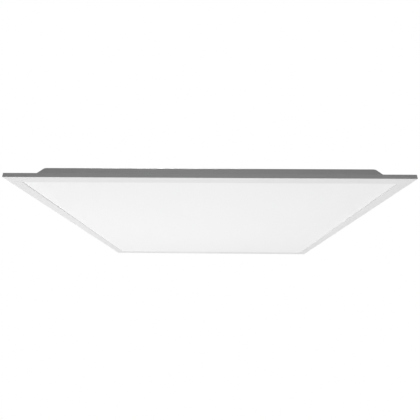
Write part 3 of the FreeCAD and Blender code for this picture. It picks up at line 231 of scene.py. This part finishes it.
def brushed_aluminium():
    """Extruded aluminium with die lines along its length."""
    metal = Shader("heat_sink_metal", (0.72, 0.73, 0.74), 0.34, metallic=1.0)
    metal.soften(200 * MICRON)
    metal.tint(metal.noise(160, 3), 0.35, 0.7, 0.0, 0.4, (0.6, 0.61, 0.63))
    metal.rough(metal.noise(900, 2, stretch=(0.05, 1, 1)), 0.26, 0.44)
    metal.bump(metal.noise(1600, 2, stretch=(0.04, 1, 1)), 10 * MICRON)
    return metal.material


def clear_lens():
    """Moulded clear lens over a diode."""
    lens = Shader("lens", (0.95, 0.96, 0.96), 0.08)
    lens.set("Transmission Weight", 0.85)
    lens.set("IOR", 1.49)
    lens.bump(lens.noise(300, 2), 10 * MICRON)
    return lens.material


def plain(name, color, roughness, **extra):
    """A moulded or lacquered surface: slight clouding, a fine grain and soft arrises."""
    item = Shader(name, color, roughness, **extra)
    item.soften(200 * MICRON)
    item.tint(item.noise(90, 3), 0.35, 0.7, 0.0, 0.4, [part * 0.9 for part in color])
    item.bump(item.noise(1800, 2), 10 * MICRON)
    return item.material


MATERIALS = {
    "frame_enamel": powder_coat("frame_enamel", (0.835, 0.835, 0.835)),
    "pan_enamel": powder_coat("pan_enamel", (0.84, 0.84, 0.84), peel=1.3),
    "box_enamel": powder_coat("box_enamel", (0.845, 0.845, 0.845), peel=1.3),
    "opal": opal_sheet(),
    "zinc": zinc_plate(),
    "foam": closed_cell_foam(),
    "circuit_board": phenolic_board(),
    "ferrite": ferrite_core(),
    "heat_sink_metal": brushed_aluminium(),
    "lens": clear_lens(),
}
for slot_name, base, gloss in (
    ("reflector", (0.93, 0.93, 0.93), 0.6),
    ("led_board_white", (0.88, 0.89, 0.88), 0.4),
    ("phosphor", (0.93, 0.74, 0.16), 0.5),
    ("connector", (0.86, 0.86, 0.82), 0.4),
    ("wire_red", (0.5, 0.03, 0.025), 0.35),
    ("wire_black", (0.015, 0.015, 0.016), 0.35),
    ("wire_white", (0.82, 0.82, 0.8), 0.35),
    ("wire_green", (0.03, 0.26, 0.07), 0.35),
    ("cord_grey", (0.42, 0.43, 0.44), 0.45),
    ("nylon_black", (0.025, 0.025, 0.028), 0.42),
    ("nylon_natural", (0.83, 0.82, 0.75), 0.42),
    ("can_sleeve", (0.03, 0.035, 0.06), 0.25),
    ("block_grey", (0.5, 0.52, 0.53), 0.32),
    ("lever_orange", (0.78, 0.2, 0.015), 0.3),
):
    MATERIALS[slot_name] = plain(slot_name, base, gloss)

TAPE = plain("polyester_tape", (0.8, 0.6, 0.12), 0.3)
RESISTOR = plain("resistor_lacquer", (0.62, 0.48, 0.3), 0.35)
COPPER = plain("enamelled_copper", (0.72, 0.3, 0.12), 0.28, metallic=1.0)

for entry in frame["record"]["subparts"]:
    mesh = frame["nodes"][entry["node"]].data
    mesh.materials.clear()
    mesh.materials.append(MATERIALS[entry["material_slot"]])


# ---------------------------------------------------------------- mesh helpers


def islands(node):
    """(lowest, highest) corners of each loose part of a CAD node, in order of place."""
    bm = bmesh.new()
    bm.from_mesh(frame["nodes"][node].data)
    bmesh.ops.remove_doubles(bm, verts=bm.verts, dist=WELD)
    seen, boxes = set(), []
    for vert in bm.verts:
        if vert in seen:
            continue
        seen.add(vert)
        waiting, points = [vert], []
        while waiting:
            here = waiting.pop()
            points.append(tuple(here.co))
            for edge in here.link_edges:
                other = edge.other_vert(here)
                if other not in seen:
                    seen.add(other)
                    waiting.append(other)
        columns = list(zip(*points))
        boxes.append((Vector(map(min, columns)), Vector(map(max, columns))))
    bm.free()
    return sorted(boxes, key=lambda box: tuple(round(number, 5) for number in box[0]))


def tops(node):
    """Middle of the top of each loose part of a node."""
    return [Vector(((low.x + high.x) / 2, (low.y + high.y) / 2, high.z)) for low, high in islands(node)]


def turned(degrees, axis):
    """A turn about one of the frame's axes."""
    return Matrix.Rotation(math.radians(degrees), 4, axis)


def add(bm, fresh, matrix):
    """Moves a mesh into another, and frees it."""
    bmesh.ops.transform(fresh, matrix=matrix, verts=fresh.verts)
    bmesh.ops.recalc_face_normals(fresh, faces=fresh.faces)
    mesh = bpy.data.meshes.new("part")
    fresh.to_mesh(mesh)
    fresh.free()
    bm.from_mesh(mesh)
    bpy.data.meshes.remove(mesh)


def add_lathe(bm, profile, place=(0, 0, 0), turn=None, steps=32):
    """Adds a solid turned round Z from (radius, height) pairs in millimetres; the place is in metres."""
    fresh = bmesh.new()
    verts = [fresh.verts.new((radius * MM, 0, height * MM)) for radius, height in profile]
    edges = [fresh.edges.new(pair) for pair in zip(verts, verts[1:])]
    axis = {"cent": (0, 0, 0), "axis": (0, 0, 1)}
    bmesh.ops.spin(fresh, geom=verts + edges, angle=math.tau, steps=steps, use_merge=True, **axis)
    bmesh.ops.remove_doubles(fresh, verts=fresh.verts, dist=WELD)
    add(bm, fresh, Matrix.Translation(place) @ (turn or Matrix.Identity(4)))


def add_block(bm, low, high, round_by=0.3, taper=1.0):
    """Adds a block between two corners in millimetres, its arrises rounded and its top narrowed."""
    fresh = bmesh.new()
    bmesh.ops.create_cube(fresh, size=1.0)
    for vert in fresh.verts:
        shrink = taper if vert.co.z > 0 else 1.0
        unit = (vert.co.x * shrink + 0.5, vert.co.y * shrink + 0.5, vert.co.z + 0.5)
        vert.co = [(a + (b - a) * part) * MM for a, b, part in zip(low, high, unit)]
    if round_by:
        rounding = {"offset": round_by * MM, "segments": 2, "profile": 0.5, "affect": "EDGES"}
        bmesh.ops.bevel(fresh, geom=fresh.edges[:], **rounding)
    add(bm, fresh, Matrix.Identity(4))


def skin(bm, rows):
    """Joins rings of points into a closed tube with flat ends."""
    rings = [[bm.verts.new(point) for point in row] for row in rows]
    for one, two in zip(rings, rings[1:]):
        for a in range(len(one)):
            b = (a + 1) % len(one)
            bm.faces.new((one[a], one[b], two[b], two[a]))
    bm.faces.new(rings[0])
    bm.faces.new(rings[-1])
    bmesh.ops.recalc_face_normals(bm, faces=bm.faces)


def hand_on(item, body):
    """Puts a piece in the scene, riding on a body."""
    bpy.context.scene.collection.objects.link(item)
    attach(item, body)


def piece(name, bm, body, slot, *replaced, material=None):
    """Turns a mesh under way into a piece that rides on a body, smooth but for its sharp arrises."""
    mesh = bpy.data.meshes.new(name)
    bm.to_mesh(mesh)
    bm.free()
    mesh.polygons.foreach_set("use_smooth", [True] * len(mesh.polygons))
    mesh.polygons.foreach_set("material_index", [0] * len(mesh.polygons))
    mesh.set_sharp_from_angle(angle=math.radians(SHARP_ANGLE))
    mesh.materials.append(material or MATERIALS[slot])
    item = bpy.data.objects.new(name, mesh)
    hand_on(item, body)
    if replaced:
        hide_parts(*replaced)


def carved(solid, cutter):
    """A mesh of the first solid less the second."""
    items = []
    for bm in (solid, cutter):
        mesh = bpy.data.meshes.new("carving")
        bm.to_mesh(mesh)
        bm.free()
        item = bpy.data.objects.new("carving", mesh)
        bpy.context.scene.collection.objects.link(item)
        items.append(item)
    cut = items[0].modifiers.new("cut", "BOOLEAN")
    cut.operation = "DIFFERENCE"
    cut.solver = "EXACT"
    cut.use_self = True  # the cutter's two arms cross
    cut.object = items[1]
    bpy.context.view_layer.update()
    result = bpy.data.meshes.new_from_object(items[0].evaluated_get(bpy.context.evaluated_depsgraph_get()))
    for item in items:
        mesh = item.data
        bpy.data.objects.remove(item)
        bpy.data.meshes.remove(mesh)
    return result


def copies(mesh, places, seed):
    """Copies of a mesh at the places given, each turned by chance about Z."""
    chance = random.Random(seed)
    bm = bmesh.new()
    for place in places:
        fresh = bmesh.new()
        fresh.from_mesh(mesh)
        turn = Matrix.Rotation(chance.uniform(0, math.tau), 4, "Z")
        add(bm, fresh, Matrix.Translation(place) @ turn)
    return bm


# ---------------------------------------------------------------- fasteners

# (radius, height) pairs from the middle of the top of a screw down to its shank, and its point.
PAN_HEAD = [(0, 0), (1.5, -0.03), (2.1, -0.16), (2.45, -0.42), (2.6, -0.8), (2.6, -1.2), (1.25, -1.2)]
PAN_POINT = [(1.0, -4.1), (0, -4.55)]
WASHER_HEAD = [(0, 0), (1.6, -0.06), (2.3, -0.32), (2.66, -0.8), (2.72, -1.45)]
WASHER_HEAD += [(3.4, -1.7), (3.4, -2.2), (1.5, -2.2)]
WASHER_POINT = [(1.1, -9.4), (0, -10.1)]
RECESS_TAPER = 0.45  # a cross recess's width at its bottom, in widths at its top

# Piece, node, flange's radius and height, shank's radius, depth of the sheets and depth of the tail.
RIVETS = (
    ("board_rivet_set", "board_rivets", 2.6, 0.8, 1.45, 2.75, 3.5),
    ("box_rivet_set", "driver_box_rivets", 3.4, 1.2, 1.7, 2.65, 3.3),
)


def cross_cutter(arm, width, depth, top=0):
    """The point of a cross-head driver, its lowest end at `top - depth`."""
    bm = bmesh.new()
    for long_x, long_y in ((arm, width), (width, arm)):
        fresh = bmesh.new()
        bmesh.ops.create_cube(fresh, size=1.0)
        for vert in fresh.verts:
            narrow = RECESS_TAPER if vert.co.z < 0 else 1.0
            vert.co.x *= long_x * narrow * MM
            vert.co.y *= long_y * narrow * MM
            vert.co.z = (top + 0.5 if vert.co.z > 0 else top - depth) * MM
        add(bm, fresh, Matrix.Identity(4))
    return bm


def thread(crest, root, start, end, pitch):
    """Profile points of a run of thread, from the head down."""
    points, level = [], start
    while level - pitch > end:
        points += [(root, level), (crest, level - pitch / 2)]
        level -= pitch
    return points


def make_screws():
    """Heads with cross recesses, on thread-forming shanks."""
    bm = bmesh.new()
    run = thread(crest=1.38, root=1.1, start=-1.4, end=-4.0, pitch=0.6)
    add_lathe(bm, PAN_HEAD + run + PAN_POINT)
    screw = carved(bm, cross_cutter(arm=2.7, width=0.62, depth=0.85))
    piece("pan_screw_set", copies(screw, tops("pan_screws"), seed=3), "housing", "zinc", "pan_screws")
    bm = bmesh.new()
    run = thread(crest=1.58, root=1.3, start=-2.6, end=-9.2, pitch=0.7)
    add_lathe(bm, WASHER_HEAD + run + WASHER_POINT, steps=40)
    screw = carved(bm, cross_cutter(arm=3.4, width=0.8, depth=1.5))
    piece("cover_screw_cross", copies(screw, tops("cover_screw"), seed=5), "cover", "zinc", "cover_screw")


def make_rivets():
    """Blind rivets: a domed flange with the broken stem down in its middle, and a swelled tail."""
    stem = [(0, -0.42), (0.42, -0.46), (0.5, -0.62), (0.62, -0.62), (0.72, -0.2), (0.95, -0.03)]
    for name, node, reach, rise, shank, grip, tail in RIVETS:
        dome = [(reach * 0.62, -0.08), (reach * 0.84, -rise * 0.36)]
        dome += [(reach - 0.05, -rise * 0.7), (reach, -rise)]
        swell = [(shank, -rise), (shank, -grip), (shank + 0.5, -grip - 0.04), (shank + 0.55, -grip - 0.3)]
        end = [(shank, -tail + 0.1), (0.8, -tail), (0, -tail)]
        bm = bmesh.new()
        for place in tops(node):
            add_lathe(bm, stem + dome + swell + end, place, steps=28)
        piece(name, bm, "housing", "zinc", node)


# ---------------------------------------------------------------- foam

# (across, up) round a strip's section: across from its middle in half widths, and up in heights.
STRIP_SECTION = ((-1, 0.04), (-0.88, 0), (0.88, 0), (1, 0.04), (1, 0.96), (0.88, 1), (-0.88, 1), (-1, 0.96))
STRIP_STEPS = 90


def make_foam():
    """Closed-cell strips between the diffuser and the flange, their sides a little uneven."""
    bm = bmesh.new()
    chance = random.Random(11)
    for low, high in islands("seal_strips"):
        along_y = high.x - low.x < high.y - low.y
        middle, half = (low + high) / 2, (high - low) / 2
        rows = []
        for number in range(STRIP_STEPS + 1):
            along = 2 * number / STRIP_STEPS - 1
            row = []
            for across, up in STRIP_SECTION:
                if abs(across) == 1:
                    across *= 1 - chance.uniform(0.0, 0.05)
                x, y = (across, along) if along_y else (along, across)
                row.append((middle.x + x * half.x, middle.y + y * half.y, low.z + up * 2 * half.z))
            rows.append(row)
        skin(bm, rows)
    piece("seal_foam", bm, "housing", "foam", "seal_strips")


# ---------------------------------------------------------------- capacitors

VENT_TURN = 0.6  # radians
VENT_DEPTH = 0.15
STRIPE_ANGLES = [200 + 5.5 * number for number in range(9)]  # degrees round a can


def can_sleeve(radius, top):
    """Profile of a shrink sleeve, with the can's crimp near its foot and the rim over its lid."""
    foot = [(0, 0), (radius - 0.5, 0), (radius, 0.3)]
    crimp = [(radius, 1.5), (radius - 0.3, 2.0), (radius - 0.3, 2.3), (radius, 2.8)]
    shoulder = [(radius, top - 0.7), (radius - 0.2, top - 0.15), (radius - 0.7, top)]
    rim = [(radius - 1.3, top), (radius - 1.35, top - 0.35), (0, top - 0.35)]
    return foot + crimp + shoulder + rim


def can_lid(radius, top):
    """Mesh of a can's lid, scored with a cross for its vent."""
    rim = [(radius - 1.4, top - 0.4), (radius - 1.4, top - 0.2), (radius - 1.7, top - 0.06)]
    lid = bmesh.new()
    add_lathe(lid, [(0, top - 0.4)] + rim + [(0, top - 0.06)], steps=40)
    return carved(lid, cross_cutter(radius * 1.3, 0.35, VENT_DEPTH, top))


def can_stripe(base, radius, top):
    """Rings of points for the light stripe that marks a can's negative side."""
    inner, outer = radius - 0.1, radius + 0.06
    loop = ((inner, 3.0), (outer, 3.0), (outer, top - 1.2), (inner, top - 1.2))
    rows = []
    for angle in STRIPE_ANGLES:
        way = Vector((math.cos(math.radians(angle)), math.sin(math.radians(angle)), 0))
        rows.append([base + (way * out + Vector((0, 0, up))) * MM for out, up in loop])
    return rows


def make_capacitors():
    """Electrolytic cans in shrink sleeves with a light stripe and a scored vent, and one film capacitor."""
    sleeves, lids, stripes, film = (bmesh.new() for _ in range(4))
    for low, high in islands("capacitors"):
        base = Vector(((low.x + high.x) / 2, (low.y + high.y) / 2, low.z))
        width, depth, top = (high - low) / MM
        if width - depth > 2:  # the film capacitor, since a can is as wide as it is deep
            add_block(film, low / MM, high / MM, round_by=0.5)
            continue
        add_lathe(sleeves, can_sleeve(width / 2, top), base, steps=48)
        lid = bmesh.new()
        lid.from_mesh(can_lid(width / 2, top))
        add(lids, lid, Matrix.Translation(base) @ Matrix.Rotation(VENT_TURN, 4, "Z"))
        skin(stripes, can_stripe(base, width / 2, top))
    piece("capacitor_sleeves", sleeves, "housing", "can_sleeve", "capacitors")
    piece("capacitor_lids", lids, "housing", "heat_sink_metal")
    piece("capacitor_stripes", stripes, "housing", "block_grey")
    piece("film_capacitor", film, "housing", "nylon_natural")


# ---------------------------------------------------------------- transformer and choke

LIMB_WIDTH = 5.6
YOKE_HEIGHT = 3.4
CORE_HALF_DEPTH = 4.0
LIMB_INSET = 0.06  # keeps the limbs' faces off those of the yokes
LIMB_OVERLAP = 0.4  # of a limb's end into a yoke
BOBBIN_GAP = 0.2  # between a yoke and a flange
FLANGE_DEPTH = 1.6
BOBBIN_FLANGE = [(0, 0), (10.2, 0), (10.6, 0.4), (10.6, 1.2), (10.2, FLANGE_DEPTH), (0, FLANGE_DEPTH)]
BOBBIN_PIN = [(0, 0), (0.9, 0), (0.9, 3.4), (0.6, 3.8), (0, 3.8)]
PIN_PITCH = 4.0
PIN_ROW = 9.0  # from the middle
TAPED_WINDING = [(0, 0), (8.9, 0), (9.3, 0.3)]
TAPED_WINDING += [(9.3 + 0.16 * (number % 2), 0.6 + 0.55 * number) for number in range(12)]
TAPED_WINDING += [(9.2, 7.4), (0, 7.4)]

CHOKE_PLACE = (-31.0, -3.5)
CHOKE_HEIGHT = 5.2  # of the ring's middle over the board
CHOKE_RING = [(4.6, -3.4), (8.6, -3.4), (9.2, -2.8), (9.2, 2.8), (8.6, 3.4)]
CHOKE_RING += [(4.6, 3.4), (4.0, 2.8), (4.0, -2.8), (4.6, -3.4)]
COIL_TURNS = 26
COIL_STEPS = 8  # points to a turn
COIL_START, COIL_SWEEP = 20, 320  # degrees round the ring
COIL_RADIUS = 6.6
COIL_REACH, COIL_RISE = 3.0, 3.9  # half the width and half the height of a turn


def make_transformer():
    """A pair of E cores round a flanged bobbin, its winding wrapped in tape."""
    low, high = (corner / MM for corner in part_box("transformer"))
    x, y = (low.x + high.x) / 2, (low.y + high.y) / 2
    core, bobbin, tape = (bmesh.new() for _ in range(3))
    near, far = y - CORE_HALF_DEPTH, y + CORE_HALF_DEPTH
    for left, right in (
        (low.x + LIMB_INSET, low.x + LIMB_WIDTH),
        (high.x - LIMB_WIDTH, high.x - LIMB_INSET),
    ):
        limb_low = (left, near + LIMB_INSET, low.z + YOKE_HEIGHT - LIMB_OVERLAP)
        limb_high = (right, far - LIMB_INSET, high.z - YOKE_HEIGHT + LIMB_OVERLAP)
        add_block(core, limb_low, limb_high, round_by=0)
    for bottom, top in ((low.z, low.z + YOKE_HEIGHT), (high.z - YOKE_HEIGHT, high.z)):
        add_block(core, (low.x, near, bottom), (high.x, far, top), round_by=0.4)
    lower = low.z + YOKE_HEIGHT + BOBBIN_GAP
    upper = high.z - YOKE_HEIGHT - BOBBIN_GAP - FLANGE_DEPTH
    for level in (lower, upper):
        add_lathe(bobbin, BOBBIN_FLANGE, Vector((x, y, level)) * MM, steps=48)
    add_lathe(tape, TAPED_WINDING, Vector((x, y, lower + FLANGE_DEPTH + 0.1)) * MM, steps=56)
    for side in (-1, 1):
        for number in range(4):
            place = Vector((x + (number - 1.5) * PIN_PITCH, y + side * PIN_ROW, low.z)) * MM
            add_lathe(bobbin, BOBBIN_PIN, place, steps=12)
    piece("transformer_core", core, "housing", "ferrite", "transformer")
    piece("transformer_bobbin", bobbin, "housing", "nylon_black")
    piece("transformer_tape", tape, "housing", "nylon_natural", material=TAPE)


def squarish(wave):
    """A sine or cosine with its crests cut off, so that a turn of wire fits the ring's section."""
    return max(-1.0, min(1.0, 1.35 * wave))


def coil_points(level):
    """Points along the wire wound round the choke's ring, as a spline takes them."""
    x, y = CHOKE_PLACE
    count = COIL_TURNS * COIL_STEPS
    points = []
    for number in range(count):
        around = math.radians(COIL_START) + number / count * math.radians(COIL_SWEEP)
        across = number / COIL_STEPS * math.tau
        out = COIL_RADIUS + COIL_REACH * squarish(math.cos(across))
        up = COIL_RISE * squarish(math.sin(across))
        place = Vector((x + out * math.cos(around), y + out * math.sin(around), level + up)) * MM
        points.append((*place, 1.0))
    return points


def make_choke(board_top):
    """A ring core wound with enamelled wire, lying flat on the driver board."""
    level = board_top + CHOKE_HEIGHT
    ring = bmesh.new()
    add_lathe(ring, CHOKE_RING, Vector((*CHOKE_PLACE, level)) * MM, steps=48)
    piece("choke_core", ring, "housing", "ferrite")
    curve = bpy.data.curves.new("choke_winding", "CURVE")
    curve.dimensions = "3D"
    curve.bevel_depth = 0.42 * MM
    curve.bevel_resolution = 3
    curve.resolution_u = 4
    curve.use_fill_caps = True
    points = coil_points(level)
    spline = curve.splines.new("NURBS")
    spline.points.add(len(points) - 1)
    spline.points.foreach_set("co", [number for point in points for number in point])
    spline.order_u = 3
    spline.use_endpoint_u = True
    curve.materials.append(COPPER)
    hand_on(bpy.data.objects.new("choke_winding", curve), "housing")


# ---------------------------------------------------------------- small parts of the driver

RESISTOR_FORM = [(0, -3.3), (0.9, -3.3), (1.2, -3.0), (1.2, -2.2), (1.0, -1.8)]
RESISTOR_FORM += [(radius, -height) for radius, height in reversed(RESISTOR_FORM)]
RESISTOR_BANDS = [(-2.6, 1.23), (-1.2, 1.03), (-0.3, 1.03), (0.6, 1.03), (2.6, 1.23)]  # (along, radius)
DIODE_FORM = [(0, -2.6), (1.3, -2.6), (1.35, -2.4), (1.35, 2.4), (1.3, 2.6), (0, 2.6)]
DIODE_BANDS = [(1.9, 1.38)]
SOLDER_FOOT = [(0, 0), (0.75, 0), (0.45, 0.3), (0.3, 0.7), (0.3, 1.9), (0, 2.0)]
FUSE_FORM = [(0, 0), (3.9, 0), (4.2, 0.3), (4.2, 7.2), (3.8, 7.7), (0, 7.7)]
VARISTOR_FORM = [(0, -1.9), (3.4, -1.8), (5.0, -1.2), (5.5, 0), (5.0, 1.2), (3.4, 1.8), (0, 1.9)]

# Where each stands on the board, and the axis that it lies along.
RESISTORS = (
    (-46.0, -24.0, "x"),
    (-46.0, -28.5, "x"),
    (-32.0, -36.0, "x"),
    (-71.0, 18.0, "x"),
    (-2.0, 4.0, "y"),
)
DIODES = ((-70.0, -22.0, "x"), (-70.0, -27.0, "x"), (-42.0, 26.0, "y"))
CHIPS = ((-84.0, -27.0), (-84.0, 10.0), (-6.0, -8.0))
FUSE_PLACE = (-33.0, -25.5)
VARISTOR_PLACE = (-8.0, 12.0)
VARISTOR_HEIGHT = 6.6  # of the disc's middle over the board
VARISTOR_LEADS = 2.5  # from its middle to each lead
CHIP_RESISTORS = [(-105 + 3.8 * number, -42 + 2.2 * (number % 3)) for number in range(13)]

AXIS_HEIGHT = 1.7  # of a resistor or diode over the board
LEAD_REACH = 4.6  # from its middle to where its leads go into the board
GULL_PITCH = 1.27


def add_axial(leads, body, bands, form, places, band_radii, level):
    """Adds parts that lie along X or Y over the board, with their bands, leads and solder."""
    for x, y, way in places:
        turn = turned(90 if way == "y" else 0, "Z")
        lying = turn @ turned(90, "Y")
        place = Vector((x, y, level + AXIS_HEIGHT)) * MM
        add_lathe(body, form, place, lying, steps=20)
        for along, radius in band_radii:
            ring = [(0, along - 0.2), (radius, along - 0.2), (radius, along + 0.2), (0, along + 0.2)]
            add_lathe(bands, ring, place, lying, steps=20)
        for side in (-1, 1):
            foot = turn @ Vector((LEAD_REACH * side, 0, -AXIS_HEIGHT)) * MM
            add_lathe(leads, SOLDER_FOOT, place + foot, steps=10)
            wire = [(0, 2.5 * side), (0.3, 2.5 * side), (0.3, 4.8 * side), (0, 4.9 * side)]
            add_lathe(leads, wire, place, lying, steps=10)


def add_chip(leads, chips, x, y, level):
    """Adds a small-outline package with eight gull-wing leads."""
    add_block(chips, (x - 2.5, y - 2, level + 0.1), (x + 2.5, y + 2, level + 1.7), 0.2, taper=0.92)
    for number in range(4):
        middle = x - 1.9 + number * GULL_PITCH
        for side in (-1, 1):
            near, far = sorted((y + side * 1.9, y + side * 3.1))
            add_block(leads, (middle - 0.2, near, level), (middle + 0.2, far, level + 0.5), 0.06)


def add_chip_resistor(leads, chips, x, y, level):
    """Adds a surface-mount resistor with a cap at each end."""
    add_block(chips, (x, y, level), (x + 1.9, y + 1.1, level + 0.6), 0.12)
    for near in (x - 0.25, x + 1.6):
        add_block(leads, (near, y - 0.02, level), (near + 0.55, y + 1.12, level + 0.66), 0.08)


def make_small_parts():
    """Resistors, diodes, chips, a fuse and a disc varistor round the larger parts of the driver."""
    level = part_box("driver_board")[1].z / MM
    make_choke(level)
    leads, resistors, bands, black, chips, disc = (bmesh.new() for _ in range(6))
    add_axial(leads, resistors, bands, RESISTOR_FORM, RESISTORS, RESISTOR_BANDS, level)
    add_axial(leads, black, bands, DIODE_FORM, DIODES, DIODE_BANDS, level)
    for x, y in CHIPS:
        add_chip(leads, chips, x, y, level)
    for x, y in CHIP_RESISTORS:
        add_chip_resistor(leads, chips, x, y, level)
    add_lathe(black, FUSE_FORM, Vector((*FUSE_PLACE, level)) * MM)
    x, y = VARISTOR_PLACE
    middle = Vector((x, y, level + VARISTOR_HEIGHT)) * MM
    add_lathe(disc, VARISTOR_FORM, middle, turned(90, "X"), steps=40)
    for along in (-VARISTOR_LEADS, VARISTOR_LEADS):
        add_lathe(leads, SOLDER_FOOT, Vector((x + along, y, level)) * MM, steps=10)
    piece("part_leads", leads, "housing", "zinc")
    piece("resistor_bodies", resistors, "housing", "nylon_natural", material=RESISTOR)
    piece("colour_bands", bands, "housing", "block_grey")
    piece("diodes_and_fuse", black, "housing", "nylon_black")
    piece("chip_packages", chips, "housing", "nylon_black")
    piece("varistor", disc, "housing", "can_sleeve")


# ---------------------------------------------------------------- numerals

BOX_WALL = 1.4  # from the switches to the outer face of the driver box
SLIDE_STEP = 4.0
NUMERAL_SIZE = 3.4
NUMERAL_RISE = 1.9  # over the top of a slider
INK_DEPTH = 0.03


def make_numerals():
    """Position numbers printed over the two selectors on the front of the driver box."""
    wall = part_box("switch_bodies")[0].y - BOX_WALL * MM
    for number, slider in enumerate(("wattage_slider", "colour_slider"), 1):
        low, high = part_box(slider)
        middle = (low.x + high.x) / 2
        for step in (-1, 0, 1):
            text = bpy.data.curves.new(f"numeral_{number}_{step + 2}", "FONT")
            text.body = str(step + 2)
            text.size = NUMERAL_SIZE * MM
            text.align_x = "CENTER"
            text.extrude = INK_DEPTH * MM
            text.materials.append(MATERIALS["nylon_black"])
            item = bpy.data.objects.new(text.name, text)
            place = (middle + step * SLIDE_STEP * MM, wall, high.z + NUMERAL_RISE * MM)
            item.matrix_world = Matrix.Translation(place) @ turned(90, "X")
            hand_on(item, "housing")


make_screws()
make_rivets()
make_foam()
make_capacitors()
make_transformer()
make_small_parts()
make_numerals()


# ---------------------------------------------------------------- camera, light and floor

WIDTH = cad_box[1][0] - cad_box[0][0]
CAMERA_PLACE = Vector((0.0131, -1.2051, -0.3119))  # in widths of the panel, from the middle of its underside
CAMERA_TURN, CAMERA_PITCH, CAMERA_ROLL = 0.692, 18.13, 0.55  # degrees; the pitch is upwards
FLOOR_LEVEL = -1.5
FLOOR_RADIUS = 4.2
FADE_FROM, FADE_TO = 0.35, 0.97  # in radii of the floor

# Name, width, power and place of each light.
LIGHTS = (
    ("light_left", 0.8, 7.0, (-0.9, 0.0, -1.0)),
    ("light_right", 1.0, 6.1, (0.6, 0.0, -1.2)),
    ("light_rear", 0.8, 1.9, (0.0, 0.6, -1.1)),
    ("light_front", 0.3, 0.72, (-0.03, -0.75, 0.6)),
)
FILL_STRENGTH = 0.12
BACKDROP_STRENGTH = 1.0


def make_camera():
    """Below the panel and in front of it, looking up, with a slight turn and roll."""
    data = bpy.data.cameras.new("camera")
    data.lens = 27.35
    data.sensor_width = 36.0
    data.clip_start = 0.01
    camera = bpy.data.objects.new("camera", data)
    bpy.context.scene.collection.objects.link(camera)
    aim = turned(CAMERA_TURN, "Z") @ turned(90 + CAMERA_PITCH, "X") @ turned(CAMERA_ROLL, "Z")
    camera.matrix_world = Matrix.Translation(CAMERA_PLACE * WIDTH) @ aim
    bpy.context.scene.camera = camera


def make_floor():
    """A pale disc that thins out towards its rim, so that it meets the white backdrop without an edge."""
    place = (0, 0, FLOOR_LEVEL)
    bpy.ops.mesh.primitive_circle_add(vertices=96, radius=FLOOR_RADIUS, fill_type="NGON", location=place)
    floor = bpy.context.active_object
    floor.name = "floor"
    paint = Shader("floor_paint", (0.82, 0.82, 0.82), 0.9)
    distance = paint.node("ShaderNodeVectorMath", operation="LENGTH")
    paint.link(paint.where, distance.inputs[0])
    reach = (FLOOR_RADIUS * FADE_FROM, FLOOR_RADIUS * FADE_TO)
    fade = paint.remap(distance.outputs["Value"], *reach, 0.0, 1.0)
    clear = paint.node("ShaderNodeBsdfTransparent")
    mix = paint.node("ShaderNodeMixShader")
    paint.link(fade, mix.inputs["Fac"])
    paint.link(paint.shader.outputs["BSDF"], mix.inputs[1])
    paint.link(clear.outputs["BSDF"], mix.inputs[2])
    paint.link(mix.outputs["Shader"], paint.tree.nodes["Material Output"].inputs["Surface"])
    floor.data.materials.append(paint.material)


def add_light(name, data, place, direction):
    """Puts a light in the scene, shining in a direction."""
    light = bpy.data.objects.new(name, data)
    bpy.context.scene.collection.objects.link(light)
    aim = Vector(direction).to_track_quat("-Z", "Y").to_matrix().to_4x4()
    light.matrix_world = Matrix.Translation(place) @ aim
    return light


def soft_light(name, size, power, place):
    """A round light aimed at the middle of the panel, and out of the camera's sight."""
    data = bpy.data.lights.new(name, "AREA")
    data.shape = "DISK"
    data.size = size
    data.energy = power
    add_light(name, data, place, -Vector(place)).visible_camera = False


def soft_sun(name, strength, spread, direction):
    """A distant light whose disc is `spread` degrees wide."""
    data = bpy.data.lights.new(name, "SUN")
    data.energy = strength
    data.angle = math.radians(spread)
    add_light(name, data, (0, 0, 0), direction)


def make_world():
    """White to the camera, and a dim even fill to everything else."""
    world = bpy.data.worlds.new("studio")
    bpy.context.scene.world = world
    world.use_nodes = True
    tree = world.node_tree
    fill = tree.nodes["Background"]
    backdrop = tree.nodes.new("ShaderNodeBackground")
    for background, strength in ((fill, FILL_STRENGTH), (backdrop, BACKDROP_STRENGTH)):
        background.inputs["Color"].default_value = (1, 1, 1, 1)
        background.inputs["Strength"].default_value = strength
    path = tree.nodes.new("ShaderNodeLightPath")
    mix = tree.nodes.new("ShaderNodeMixShader")
    tree.links.new(path.outputs["Is Camera Ray"], mix.inputs["Fac"])
    tree.links.new(fill.outputs["Background"], mix.inputs[1])
    tree.links.new(backdrop.outputs["Background"], mix.inputs[2])
    tree.links.new(mix.outputs["Shader"], tree.nodes["World Output"].inputs["Surface"])


make_camera()
make_floor()
make_world()
soft_sun("sun_back", strength=2.3, spread=26.0, direction=(0.2, -1.0, -0.86))
for light in LIGHTS:
    soft_light(*light)
bpy.context.scene.view_settings.view_transform = "Standard"
